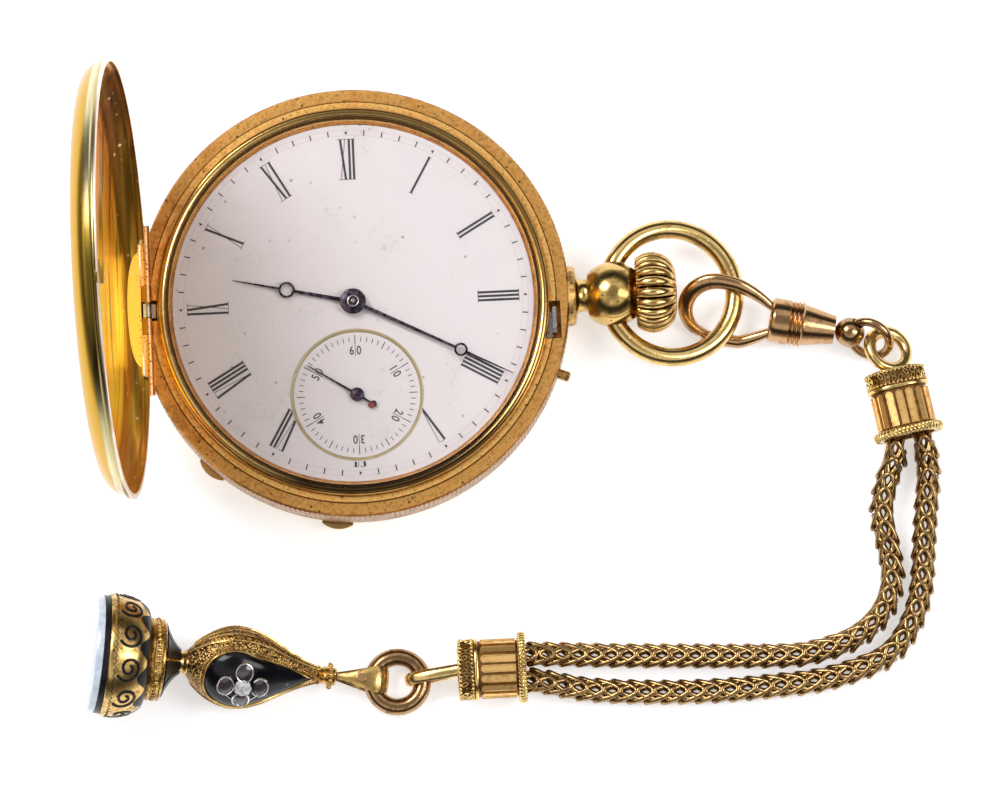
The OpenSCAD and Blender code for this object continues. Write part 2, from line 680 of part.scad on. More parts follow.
module lock_spring() {
    color("slategray") {
        leaf_spring(-66, -6);
        // Post through the slot, with the nose that holds the cover
        translate([spring_in + 0.2, lock_slot_y - lock_nose_l / 2, spring_z0 + 0.1])
            cube([lock_nose_x + lock_nose_t - spring_in - 0.2, lock_nose_l, spring_z1 - spring_z0 - 0.2]);
        translate([lock_nose_x, lock_slot_y - lock_nose_l / 2, spring_z0 + 0.1])
            cube([lock_nose_t, lock_nose_l, band_z1 + lip_h - spring_z0 - 0.1]);
    }
}

module pendant() {
    base_x = case_r - 0.6;
    neck_x = ball_x - 3.35;
    neck_curve = neck_d / 2 + 1;
    color("goldenrod") difference() {
        union() {
            intersection() {
                translate([0, 0, pendant_z]) rotate([0, 90, 0]) rotate_extrude() polygon([[0, base_x],
                    [3.45, base_x], [3.45, base_x + 1], [3.2, base_x + 1.35], [0, base_x + 1.35]]);
                translate([0, -5, band_z0 + 0.1]) cube([case_d, 10, band_h - 0.2]);
            }
            // Hollow neck that swells into the shoulder of the ball
            translate([0, 0, pendant_z]) rotate([0, 90, 0]) rotate_extrude() polygon(concat(
                [[0, base_x + 1], [2.6, base_x + 1]], arc_pts([neck_curve, neck_x], 1, 240, 132, 8),
                arc_pts([0, ball_x], ball_r, -17, 0, 3), [[0, ball_x]]));
            translate([ball_x, 0, pendant_z]) rotate([0, 90, 0]) rotate_extrude()
                polygon(concat([[0, -0.3]], arc_pts([0, 0], ball_r, asin(-0.3 / ball_r), 90, 16)));
        }
        translate([0, 0, -1]) cylinder(r = case_r, h = 12, $fn = 128);
        translate([20, 0, pendant_z]) rotate([0, 90, 0]) cylinder(d = stem_d + 2 * stem_fit, h = 20);
        for (side = [-1, 1])
            translate([ball_x, side * (ball_r - 1.4), pendant_z]) rotate([-90 * side, 0, 0])
                cylinder(r = bow_pin_r + 0.03, h = 3);
    }
}

module bow() {
    // Both ends of the wire lie over the poles of the ball and are hollowed to clear it
    end_r = ball_r - 0.6;
    end_x = (pow(end_r, 2) - pow(bow_r, 2) + pow(bow_offset, 2)) / (2 * bow_offset);
    a = acos((bow_offset - end_x) / bow_r);
    color("goldenrod") translate([ball_x, 0, pendant_z]) rotate([0, bow_tilt, 0]) {
        difference() {
            translate([bow_offset, 0, 0]) rotate([0, 0, -180 + a]) rotate_extrude(angle = 360 - 2 * a, $fn = 96)
                translate([bow_r, 0]) circle(d = bow_wire, $fn = 48);
            sphere(r = ball_r + 0.05);
        }
        // Pins that turn in the ball
        for (side = [-1, 1])
            translate([0, side * (ball_r - 1.2), 0]) rotate([-90 * side, 0, 0])
                cylinder(r = bow_pin_r, h = 1.6);
    }
}

module crown() {
    // Its side is a round arc, and the grooves follow that arc
    side_x = crown_x + 1.9;
    arc_r = crown_len - 1.9;
    side_r = crown_r - arc_r;
    color("gold") difference() {
        translate([0, 0, pendant_z]) rotate([0, 90, 0]) rotate_extrude() polygon(concat([[0, crown_x]],
            arc_pts([side_r, side_x], arc_r, -asin(1.9 / arc_r), 90, 12), [[0, crown_x + crown_len]]));
        // Mouth over the pendant ball, and the hole in which the crown slides on the stem
        translate([crown_x - 1, 0, pendant_z]) rotate([0, 90, 0]) cylinder(r = crown_mouth_r, h = 3.1);
        translate([crown_x, 0, pendant_z]) rotate([0, 90, 0])
            cylinder(d = stem_d + 2 * stem_fit, h = crown_len - 0.6);
        for (i = [0:crown_ribs - 1])
            translate([side_x, 0, pendant_z]) rotate([i * 360 / crown_ribs, 0, 0]) translate([0, side_r, 0])
                rotate([0, 0, 22]) rotate_extrude(angle = 118) translate([arc_r + 0.12, 0])
                    circle(d = 0.9, $fn = 16);
    }
}

module winding_stem() {
    stem_end = crown_x + crown_len - 0.7 - crown_travel;
    color("silver") translate([0, 0, pendant_z]) rotate([0, 90, 0]) {
        translate([0, 0, winding_pinion_x - 0.6]) cylinder(d = stem_d, h = stem_end - winding_pinion_x + 0.6);
        // Pinion with a gap over the tooth of the crown wheel
        translate([0, 0, winding_pinion_x]) linear_extrude(1.6)
            rotate(180 / winding_leaves + mesh_offset * crown_teeth / winding_leaves)
                polygon(gear_pts(winding_leaves, winding_mod));
    }
}

module set_pin() {
    color("goldenrod") rotate([0, 0, set_pin_angle]) translate([0, 0, spring_z1 - 0.2]) rotate([0, 90, 0]) {
        translate([0, 0, bore_r + 0.1]) cylinder(d = set_pin_d, h = case_r - bore_r - 0.1 + set_pin_out - 0.2);
        translate([0, 0, case_r + set_pin_out - 0.2])
            rotate_extrude() polygon([[0, 0], [set_pin_d / 2, 0], [set_pin_d / 2 - 0.2, 0.2], [0, 0.2]]);
    }
}

// Dial and hands

module dial() {
    color("snow") difference() {
        plate_shape(dial_z, dial_t) circle(d = dial_d, $fn = 128);
        translate([0, 0, dial_z - 1]) cylinder(r = hour_pipe_r + 0.15, h = 3);
        translate([fourth_pos[0], fourth_pos[1], dial_z - 1]) cylinder(d = seconds_d, h = 3);
    }
}

module seconds_dial() {
    color("white") difference() {
        plate_shape(dial_z, dial_t - seconds_sink) translate(fourth_pos) circle(d = seconds_d);
        translate([fourth_pos[0], fourth_pos[1], dial_z - 1]) cylinder(d = arbor_d + 0.3, h = 3);
    }
}

// Outline of a slender hand with a ring near its point
module hand_shape(len, ring_at, ring_out, hub_r, root_w) {
    difference() {
        union() {
            polygon([[0, -root_w / 2], [ring_at, -root_w / 3], [len, -0.04], [len, 0.04],
                [ring_at, root_w / 3], [0, root_w / 2]]);
            circle(r = hub_r);
            translate([ring_at, 0]) circle(r = ring_out);
        }
        translate([ring_at, 0]) circle(r = ring_out - 0.25);
    }
}

module hour_hand() {
    color("black") difference() {
        plate_shape(hour_hand_z, hand_t) rotate(hour_angle)
            hand_shape(hour_len, hour_len * 0.55, 0.94, 1.35, 0.5);
        translate([0, 0, hour_hand_z - 1]) cylinder(r = hour_pipe_r, h = 3);
    }
}

module minute_hand() {
    color("black") difference() {
        plate_shape(minute_hand_z, hand_t) rotate(minute_angle)
            hand_shape(minute_len, minute_len * 0.675, 0.78, 1.2, 0.45);
        translate([0, 0, minute_hand_z - 1]) cylinder(r = cannon_r, h = 3);
    }
}

module seconds_hand() {
    color("black") difference() {
        plate_shape(seconds_hand_z, hand_t) translate(fourth_pos) rotate(second_angle) {
            polygon([[-2.2, -0.1], [0, -0.14], [seconds_len, -0.04], [seconds_len, 0.04], [0, 0.14],
                [-2.2, 0.1]]);
            circle(r = 0.8);
            translate([-2.2, 0]) circle(r = 0.4);
        }
        translate([fourth_pos[0], fourth_pos[1], seconds_hand_z - 1]) cylinder(d = arbor_d, h = 3);
    }
}

// Movement

// A toothed wheel with four arms and a hub
module wheel_shape(n, m, phase) {
    rim = n * m / 2 - 1.1 * m - 0.45;
    rotate(phase) difference() {
        polygon(gear_pts(n, m));
        difference() {
            circle(r = rim);
            circle(r = 0.9);
            for (a = [45, 135]) rotate(a) square([rim * 2, 0.5], center = true);
        }
    }
}

// A pinion with its leaves, turned so that a gap faces the wheel at the bearing
module pinion(pos, n, m, wheel_bearing, z, h) {
    translate([pos[0], pos[1], z]) linear_extrude(h) rotate(wheel_bearing + 180 / n) polygon(gear_pts(n, m));
}

// An arbor through both of its bearings
module arbor(pos, z0, z1) {
    translate([pos[0], pos[1], z0]) cylinder(d = arbor_d, h = z1 - z0, $fn = 24);
}

// Bores for every arbor that runs between the plates
module arbor_bores(fit) {
    for (p = [centre_pos, third_pos, fourth_pos, escape_pos, pallet_pos, balance_pos])
        translate([p[0], p[1], -1]) cylinder(d = arbor_d + 2 * fit, h = 12, $fn = 24);
}

module main_plate() {
    color("gold") difference() {
        union() {
            plate_shape(plate_z, plate_t) circle(d = plate_d, $fn = 128);
            plate_shape(plate_z, plate_flange_t) circle(r = plate_flange_r - 0.05, $fn = 128);
        }
        arbor_bores(arbor_fit);
        translate([minute_pos[0], minute_pos[1], 0]) cylinder(d = arbor_d + 2 * arbor_fit, h = 20, $fn = 24);
        translate([winding_pinion_x - 0.8, -stem_d / 2 - 0.2, plate_z - 1])
            cube([case_r, stem_d + 0.4, pendant_z + stem_d / 2 + 0.15 - plate_z + 1]);
        translate([winding_pinion_x - 0.2, -winding_pinion_r - 0.5, plate_z - 1])
            cube([2, 2 * winding_pinion_r + 1, plate_t + 2]);
    }
}

module bridge_legs(legs, r) {
    for (p = legs) translate([p[0], p[1], bridge_top]) cylinder(r = r, h = plate_z - bridge_top);
}

module barrel_bridge() {
    color("gold") {
        difference() {
            plate_shape(bridge_z, bridge_t) difference() {
                circle(r = plate_d / 2 - bridge_edge);
                translate([-case_r, -case_d]) square([case_d, case_d - bridge_cut * train_size]);
                translate([-case_r, -case_r])
                    square([case_r + 2, case_r + balance_pos[1] + balance_d / 2 + 1.2]);
                translate([winding_pinion_x - 0.3, -winding_pinion_r - 0.22])
                    square([case_r, 2 * winding_pinion_r + 0.44]);
            }
            arbor_bores(arbor_fit);
            for (p = [barrel_pos, crown_wheel_pos])
                translate([p[0], p[1], 0]) cylinder(r = 0.6 + arbor_fit, h = 8);
        }
        bridge_legs(barrel_legs, leg_r);
    }
}

module train_bridge() {
    color("gold") {
        difference() {
            plate_shape(bridge_z, bridge_t) difference() {
                circle(r = plate_d / 2 - bridge_edge);
                translate([-case_r, -(bridge_cut + 0.3) * train_size]) square([case_d, case_d]);
                translate(balance_pos) circle(d = balance_d + 1);
                translate([balance_pos[0] + 3.5 - case_d, -case_r]) square([case_d, case_d]);
            }
            arbor_bores(arbor_fit);
        }
        bridge_legs(train_legs, leg_r);
    }
}

module mainspring_barrel() {
    color("gold") difference() {
        union() {
            plate_shape(barrel_z, 0.45) translate(barrel_pos)
                rotate(bearing(barrel_pos, centre_pos)) polygon(gear_pts(big_teeth, barrel_mod));
            translate([barrel_pos[0], barrel_pos[1], barrel_z]) cylinder(r = drum_r, h = barrel_h);
        }
        translate([barrel_pos[0], barrel_pos[1], barrel_z + 0.25])
            cylinder(r = drum_r - drum_wall, h = barrel_h - 0.5);
        translate([barrel_pos[0], barrel_pos[1], 0]) cylinder(r = 0.6 + arbor_fit, h = 10);
    }
}

// Outline of a flat spiral strip
module spiral(r0, r1, turns, t) {
    n = 24 * turns;
    line = [for (i = [0:n]) let (k = i / n) polar(r0 + (r1 - r0) * k, 360 * turns * k)];
    edge = [for (i = [n:-1:0]) let (k = i / n) polar(r0 + t + (r1 - r0) * k, 360 * turns * k)];
    polygon(concat(line, edge));
}

module mainspring() {
    color("steelblue") translate([barrel_pos[0], barrel_pos[1], barrel_z + 0.3])
        linear_extrude(barrel_h - 0.6) spiral(2.2, drum_r - drum_wall - 0.25, 7, 0.2);
}

module ratchet_wheel() {
    color("silver") translate([barrel_pos[0], barrel_pos[1], 0]) {
        plate_shape(winding_z, winding_t) rotate(bearing(barrel_pos, crown_wheel_pos))
            polygon(gear_pts(ratchet_teeth, winding_mod));
        translate([0, 0, winding_z]) cylinder(r = 0.6, h = plate_z - winding_z - 0.1);
    }
}

module crown_wheel() {
    color("silver") translate([crown_wheel_pos[0], crown_wheel_pos[1], 0]) {
        plate_shape(winding_z, winding_t)
            rotate(crown_wheel_phase) polygon(gear_pts(crown_teeth, winding_mod));
        translate([0, 0, winding_z]) cylinder(r = 0.6, h = bridge_top - winding_z);
    }
}

module centre_wheel() {
    color("gold") {
        plate_shape(centre_z, wheel_t) wheel_shape(big_teeth, centre_mod, bearing(centre_pos, third_pos));
        pinion(centre_pos, centre_leaves, barrel_mod, bearing(centre_pos, barrel_pos), barrel_z,
            centre_z - barrel_z);
        arbor(centre_pos, bridge_z, minute_hand_z + hand_t + 0.15);
    }
}

module third_wheel() {
    color("gold") {
        plate_shape(third_z, wheel_t) translate(third_pos)
            wheel_shape(third_teeth, third_mod, bearing(third_pos, fourth_pos));
        pinion(third_pos, pinion_teeth, centre_mod, bearing(third_pos, centre_pos), third_z + wheel_t,
            centre_z - third_z + 0.1);
        arbor(third_pos, bridge_z, plate_z + plate_t - 0.05);
    }
}

module fourth_wheel() {
    color("gold") {
        plate_shape(fourth_z, wheel_t) translate(fourth_pos)
            wheel_shape(fourth_teeth, fourth_mod, bearing(fourth_pos, escape_pos));
        pinion(fourth_pos, pinion_teeth, third_mod, bearing(fourth_pos, third_pos), fourth_z + wheel_t,
            third_z - fourth_z + 0.1);
        arbor(fourth_pos, bridge_z, seconds_hand_z + hand_t + 0.1);
    }
}

module escape_wheel() {
    tip = 2.75;
    color("silver") {
        translate([escape_pos[0], escape_pos[1], escape_z]) linear_extrude(wheel_t) difference() {
            polygon([for (i = [0:14]) for (k = [0:2])
                polar([1.9, tip, tip - 0.1][k], i * 24 + [0, 9, 12][k])]);
            difference() {
                circle(r = 1.55);
                circle(r = 0.7);
                for (a = [0, 90]) rotate(a) square([3.4, 0.35], center = true);
            }
        }
        pinion(escape_pos, escape_leaves, fourth_mod, bearing(escape_pos, fourth_pos), fourth_z - 0.05,
            escape_z - fourth_z + 0.05);
        arbor(escape_pos, bridge_z, plate_z + plate_t - 0.05);
    }
}

module pallet_lever() {
    to_escape = bearing(pallet_pos, escape_pos);
    to_balance = bearing(pallet_pos, balance_pos);
    reach = norm(balance_pos - pallet_pos) - 1.35;
    color("silver") {
        translate([pallet_pos[0], pallet_pos[1], escape_z]) linear_extrude(wheel_t) {
            circle(r = 0.5);
            rotate(to_balance) difference() {
                translate([0, -0.2]) square([reach, 0.4]);
                translate([reach - 0.35, -0.09]) square([0.5, 0.18]);
            }
            // Anchor arms and their stones, clear of the tips of the escape wheel
            for (side = [-1, 1]) rotate(to_escape + side * 62) {
                translate([0, -0.2]) square([1.7, 0.4]);
                translate([1.45, -0.25]) square([0.3, 0.5]);
            }
        }
        arbor(pallet_pos, escape_z - 0.5, plate_z + plate_t - 0.05);
    }
}

module pallet_cock() {
    away = 215;
    foot = pallet_pos + polar(2.3, away);
    color("gold") difference() {
        union() {
            plate_shape(escape_z - 0.5, 0.35) {
                translate(pallet_pos) circle(r = 0.8);
                translate(foot) circle(r = 0.8);
                translate(pallet_pos) rotate(away) translate([0, -0.5]) square([2.3, 1]);
            }
            translate([foot[0], foot[1], escape_z - 0.5]) cylinder(r = 0.8, h = plate_z - escape_z + 0.5);
        }
        translate([pallet_pos[0], pallet_pos[1], 0])
            cylinder(d = arbor_d + 2 * arbor_fit, h = escape_z, $fn = 24);
    }
}

module balance_wheel() {
    color("gold") translate([balance_pos[0], balance_pos[1], 0]) {
        plate_shape(balance_z, balance_h) difference() {
            circle(d = balance_d - 0.6);
            circle(d = balance_d - 1.6);
        }
        plate_shape(balance_z + 0.2, 0.25) {
            square([balance_d - 1.2, 0.7], center = true);
            circle(r = 0.9);
        }
        // Timing screws round the rim
        for (i = [0:13])
            rotate([0, 0, 13 + i * 360 / 14]) translate([balance_d / 2 - 0.35, 0, balance_z + balance_h / 2])
                rotate([0, 90, 0]) cylinder(d = 0.5, h = 0.35, $fn = 16);
        // Roller under the lever and its pin
        plate_shape(balance_z + balance_h + 0.1, 0.2) circle(r = 1);
        translate([0, 0, winding_z + 0.1])
            cylinder(d = arbor_d, h = plate_z + plate_t - winding_z - 0.15, $fn = 24);
    }
}

module hairspring() {
    color("steelblue") translate([balance_pos[0], balance_pos[1], balance_z - 0.22])
        linear_extrude(0.18) spiral(0.28, 3.1, 8, 0.07);
}

module balance_cock() {
    arm = bearing(cock_leg, balance_pos);
    z = bridge_z - 0.55;
    color("gold") difference() {
        union() {
            plate_shape(z, 0.35) {
                translate(cock_leg) circle(r = 1.6);
                translate(balance_pos) circle(r = 2);
                translate(cock_leg) rotate(arm) translate([0, -1]) square([norm(balance_pos - cock_leg), 2]);
            }
            translate([cock_leg[0], cock_leg[1], z]) cylinder(r = leg_r, h = plate_z - z);
        }
        translate([balance_pos[0], balance_pos[1], 0]) cylinder(d = arbor_d + 2 * arbor_fit, h = 8, $fn = 24);
    }
}

module cannon_pinion() {
    color("silver") difference() {
        union() {
            plate_shape(cannon_z, motion_t) rotate(bearing(centre_pos, minute_pos))
                rotate(180 / cannon_teeth) polygon(gear_pts(cannon_teeth, cannon_mod));
            translate([0, 0, cannon_z]) cylinder(r = cannon_r, h = minute_hand_z + hand_t - cannon_z);
        }
        translate([0, 0, cannon_z - 1]) cylinder(d = arbor_d + 2 * arbor_fit, h = 8, $fn = 24);
    }
}

module minute_wheel() {
    color("gold") difference() {
        union() {
            plate_shape(cannon_z, motion_t) translate(minute_pos)
                rotate(bearing(minute_pos, centre_pos)) polygon(gear_pts(minute_teeth, cannon_mod));
            pinion(minute_pos, minute_leaves, hour_mod, bearing(minute_pos, centre_pos),
                cannon_z + motion_t, 0.3);
            arbor(minute_pos, plate_z + 0.05, cannon_z + motion_t);
        }
    }
}

module hour_wheel() {
    color("gold") difference() {
        union() {
            plate_shape(hour_wheel_z, motion_t) rotate(bearing(centre_pos, minute_pos))
                polygon(gear_pts(hour_teeth, hour_mod));
            translate([0, 0, hour_wheel_z]) cylinder(r = hour_pipe_r, h = hour_hand_z + hand_t - hour_wheel_z);
        }
        translate([0, 0, hour_wheel_z - 1]) cylinder(r = cannon_r + arbor_fit, h = 5);
    }
}

module slotted_head(p, z, r) {
    translate([p[0], p[1], z]) difference() {
        cylinder(r = r, h = 0.3);
        translate([-r, -0.1, -0.01]) cube([2 * r, 0.2, 0.12]);
    }
}

module movement_screws() {
    color("steelblue") {
        for (p = concat(barrel_legs, train_legs)) slotted_head(p, bridge_z - 0.3, 0.8);
        slotted_head(cock_leg, bridge_z - 0.55 - 0.3, 0.8);
    }
}

module jewels() {
    color("crimson") for (p = [third_pos, fourth_pos, escape_pos])
        translate([p[0], p[1], bridge_z - 0.12]) difference() {
            cylinder(r = 0.7, h = 0.12);
            translate([0, 0, -1]) cylinder(d = arbor_d + 2 * arbor_fit, h = 3, $fn = 24);
        }
}

// Clip

// Places its children in the plane of the clip's loop
module in_loop() {
    on_clip() rotate([clip_roll, 0, 0]) children();
}

// Line of half the loop, from its left end to the barrel: side is 1 for the hook and -1 for the gate
function arm_line(side, a0, end) = concat(
    [for (p = arc_pts([0, 0], clip_a, a0, 90, 12)) [p[0], side * p[1], 0]],
    [for (i = [1:5]) let (k = i / 5, x = arm_x * k) [x, side * clip_a, 0]],
    [for (i = [1:6]) let (k = i / 6) [arm_x + (end[0] - arm_x) * k,
        side * (clip_a - (clip_a - end[1]) * pow(k, arm_bend)), 0]]);

module clip_hook() {
    nose = arc_pts([0, 0], clip_a, 236, 180, 5);
    color("rosybrown") in_loop()
        tube(concat([for (p = nose) [p[0], p[1], 0]], arm_line(1, 175, [barrel_s, 1.5])), clip_wire / 2, 12);
}

module clip_gate() {
    color("rosybrown") in_loop() difference() {
        union() {
            tube(arm_line(-1, 115, [gate_pin[0] - 0.45, gate_pin[1] + 0.17]), clip_wire / 2, 12);
            // Eye that turns on the pin in the slot of the barrel
            translate([gate_pin[0], -gate_pin[1], -gate_eye_t / 2])
                cylinder(r = gate_eye_r, h = gate_eye_t, $fn = 24);
        }
        translate([gate_pin[0], -gate_pin[1], -2]) cylinder(r = gate_pin_r + 0.04, h = 4, $fn = 24);
    }
}

module clip_barrel() {
    mid = barrel_len * 0.42;
    end_r = barrel_r * 0.62;
    color("rosybrown") on_clip() difference() {
        translate([barrel_s, 0, 0]) rotate([0, 90, 0]) rotate_extrude() polygon(concat([[0, 0]],
            arc_pts([barrel_r - 0.6, 0.6], 0.6, -90, 0, 4),
            [[barrel_r, mid - 0.9], [barrel_r - 0.2, mid - 0.7]],
            [for (i = [0:2]) for (p = [[barrel_r - 0.2, mid - 0.7 + i * 0.5], [barrel_r, mid - 0.55 + i * 0.5],
                [barrel_r, mid - 0.4 + i * 0.5], [barrel_r - 0.2, mid - 0.25 + i * 0.5]]) p],
            [[barrel_r - 0.25, mid + 0.9], [end_r, barrel_len], [0, barrel_len]]));
        translate([barrel_s + barrel_len - 2, 0, 0]) rotate([0, 90, 0]) cylinder(d = 1.1, h = 3);
        // Slot for the eye of the gate
        rotate([clip_roll, 0, 0]) translate([barrel_s - 1, -gate_pin[1] - 2, -gate_slot / 2])
            cube([gate_pin[0] + gate_eye_r + 0.1 - barrel_s + 1, 2 + gate_eye_r + 0.1, gate_slot]);
    }
    color("rosybrown") in_loop() translate([gate_pin[0], -gate_pin[1], -gate_slot / 2 - 0.2])
        cylinder(r = gate_pin_r, h = gate_slot + 0.4, $fn = 24);
}

module swivel_ball() {
    color("rosybrown") difference() {
        on_clip() {
            translate([ball_s, 0, 0]) sphere(d = swivel_d);
            translate([barrel_s + barrel_len - 1.8, 0, 0]) rotate([0, 90, 0]) cylinder(d = 1, h = 2.5);
        }
        tilted_ring(ring_pos, -30, 50, ring_r, ring_wire + 0.3);
    }
}

module swivel_ring() {
    color("sienna") tilted_ring(ring_pos, -30, 50, ring_r, ring_wire);
}

// End caps

// Outline of a cap: two straight sides and two round ends
module cap_outline(grow) {
    w = cap_w + 2 * grow;
    t = cap_t + 2 * grow;
    square([w - t, t], center = true);
    for (side = [-1, 1]) translate([side * (w - t) / 2, 0]) circle(d = t);
}

module end_cap(pos, heading) {
    band = 2;
    flute_pitch = cap_w * 0.8 / cap_flutes;
    color("gold") translate(pos) rotate([0, 0, heading]) rotate([90, 0, 90]) {
        linear_extrude(band) cap_outline(0.15);
        translate([0, 0, band]) linear_extrude(0.4) cap_outline(0.3);
        difference() {
            translate([0, 0, band]) linear_extrude(cap_len - band) cap_outline(0);
            // Flutes on both broad sides
            for (side = [-1, 1]) for (i = [0:cap_flutes - 1])
                translate([(i - (cap_flutes - 1) / 2) * flute_pitch, side * (cap_t / 2 + 0.25), band + 0.8])
                    cylinder(r = 0.5, h = cap_len - band - 2.2, $fn = 24);
            // Hollow that takes the ends of the two strands
            translate([0, 0, cap_len - cap_hollow]) linear_extrude(2) cap_outline(-cap_wall);
        }
        translate([0, 0, cap_len - 1]) difference() {
            linear_extrude(0.9) cap_outline(cap_rim);
            translate([0, 0, -1]) linear_extrude(3) cap_outline(-cap_wall);
        }
    }
}

module end_cap_upper() {
    end_cap(cap_upper_pos, cap_upper_heading);
    color("gold") tilted_ring(loop_pos, -50, -30, loop_r, loop_wire);
}

module end_cap_lower() {
    end_cap(cap_lower_pos, cap_lower_heading);
    color("gold") on_jump(cap_strap_heading, cap_strap_rise) strap(4.9, 2);
}

// A smooth line through the points of a route
function bend(p, i, t) = let (a = i > 0 ? p[i - 1] : 2 * p[0] - p[1], b = p[i], c = p[i + 1],
    d = i < len(p) - 2 ? p[i + 2] : 2 * c - b)
    (2 * b + (c - a) * t + (2 * a - 5 * b + 4 * c - d) * t * t + (3 * b - a - 3 * c + d) * pow(t, 3)) / 2;
function smooth_line(p) = concat([for (i = [0:len(p) - 2]) for (k = [0:7]) bend(p, i, k / 8)], [p[len(p) - 1]]);

// Length run along a line at each of its points, and the point at a length
function run_lengths(p) = let (n = len(p) - 1)
    [for (i = 0, s = 0; i <= n; s = s + norm(p[min(i + 1, n)] - p[i]), i = i + 1) s];
function at_length(p, run, s) = [for (k = [0:2]) lookup(s, [for (i = [0:len(p) - 1]) [run[i], p[i][k]]])];

// One link: a closed loop of wire folded in two, so that its bends lead its sides
module chain_link() {
    steps = 18;
    function middle(t) = [link_reach * pow(sin(t), 2), link_half * cos(t), link_rise * sin(t)];
    function ahead(t) = [link_reach * sin(2 * t), -link_half * sin(t), link_rise * cos(t)];
    function wire(t) = let (v = ahead(t) / norm(ahead(t)),
            c = cross(v, [0, link_half * cos(t), link_rise * sin(t)]),
            u = c / norm(c), w = cross(v, u))
        [for (k = [0:3]) middle(t) + link_wire / 2 * (u * cos(45 + k * 90) + w * sin(45 + k * 90))];
    points = [for (i = [0:steps - 1]) for (q = wire(i * 360 / steps)) q];
    faces = [for (i = [0:steps - 1]) for (k = [0:3])
        let (a = i * 4 + k, b = i * 4 + (k + 1) % 4, c = (a + 4) % (4 * steps), d = (b + 4) % (4 * steps))
            for (f = [[a, c, b], [b, c, d]]) f];
    polyhedron(points, faces);
}

// A strand of links, each one threaded through the two bends of the link behind it
module chain_strand(route) {
    line = smooth_line(route);
    run = run_lengths(line);
    free_run = run[len(run) - 1] - link_reach - 2 * link_inset;
    gaps = round(free_run / link_pitch);
    for (i = [0:gaps]) {
        s = link_inset + free_run * i / gaps;
        here = at_length(line, run, s);
        way = at_length(line, run, s + link_reach) - here;
        translate(here) rotate([0, -asin(way[2] / norm(way)), atan2(way[1], way[0])]) chain_link();
    }
}

module chain_strand_outer() {
    color("darkgoldenrod") chain_strand(outer_route);
}

module chain_strand_inner() {
    color("darkgoldenrod") chain_strand(inner_route);
}

// Fob

module jump_ring() {
    color("sienna") translate(jump_pos) rotate_extrude() translate([jump_r, 0])
        circle(d = jump_wire, $fn = 32);
}

module fob_bail() {
    color("goldenrod") on_fob() strap(collar_s, 1.4);
}

// Flat head of the pin that closes the bail
module bail_pin() {
    color("sienna") on_fob() translate([1.6, 0, strap_eye + strap_t - 0.16]) cylinder(r = 0.5, h = 0.5);
}

// The pear, its skin moved outwards by a small amount
module pear(grow) {
    sides = 24;
    n = 15;
    function half(t) = pear_share(1 - t) * pear_w / 2;
    points = [for (i = [0:n]) for (k = [0:sides - 1]) let (t = i / n, a = k * 360 / sides)
        [pear_s + pear_len * t, (half(t) + grow) * cos(a), (half(t) * pear_t / pear_w + grow) * sin(a)]];
    polyhedron(points, skin_faces(n + 1, sides));
}

// Seats of the stones on the front of the pear
module flower_seats(z0, h, r) {
    for (p = flower) translate([panel_s + p[0], p[1], z0]) cylinder(r = r, h = h, $fn = 24);
}

module fob_body() {
    color("goldenrod") on_fob() {
        difference() {
            pear(0);
            flower_seats(flower_floor, 2, stone_r);
        }
        // Beaded collar that carries the bail
        translate([collar_s, 0, 0]) rotate([0, 90, 0]) cylinder(r = 1.1, h = collar_len + 0.3);
        translate([collar_s + 0.75, 0, 0]) rotate([0, 90, 0])
            rotate_extrude() translate([1.1, 0]) circle(r = 0.35, $fn = 24);
    }
}

module fob_panels() {
    color("black") on_fob() difference() {
        intersection() {
            pear(panel_t);
            translate([panel_s, 0, -pear_t]) linear_extrude(2 * pear_t) {
                circle(r = pear_w * 0.34, $fn = 32);
                polygon([[-pear_len * 0.45, 0], [-1, -pear_w * 0.325], [1, 0], [-1, pear_w * 0.325]]);
            }
        }
        pear(0);
        flower_seats(flower_floor, 2, stone_r);
    }
}

module fob_stones() {
    color("lavender") on_fob() {
        flower_seats(flower_floor, pear_t / 2 + panel_t - flower_floor, stone_r);
        for (p = flower) translate([panel_s + p[0], p[1], pear_t / 2 + panel_t])
            cylinder(r1 = stone_r, r2 = stone_r * 0.6, h = 0.35, $fn = 24);
    }
}

module seal_base() {
    color("goldenrod") on_fob() translate([seal_s, 0, 0]) rotate([0, 90, 0]) rotate_extrude() polygon(concat(
        [[0, 0], [1.5, 0], [1.3, 0.4], [1.6, 1], [2.4, seal_neck_len]],
        [[4.4, seal_neck_len + 0.1], [4.8, seal_neck_len + 0.4], [4.8, seal_neck_len + 1.2],
        [4.4, seal_neck_len + 1.5], [5, seal_neck_len + 1.9]],
        [for (i = [0:6]) let (t = i * 15) [5 + (seal_r - 5) * sin(t), seal_len - 0.6 - 3.6 * cos(t)]],
        [[seal_r, seal_len], [0, seal_len]]));
}

module seal_stone() {
    r = seal_r - 0.4;
    color("aliceblue") on_fob() translate([seal_edge_s, 0, 0]) rotate([0, 90, 0])
        rotate_extrude() polygon([[0, 0], [r, 0], [r, stone_t - 0.5], [r - 0.4, stone_t], [0, stone_t]]);
}

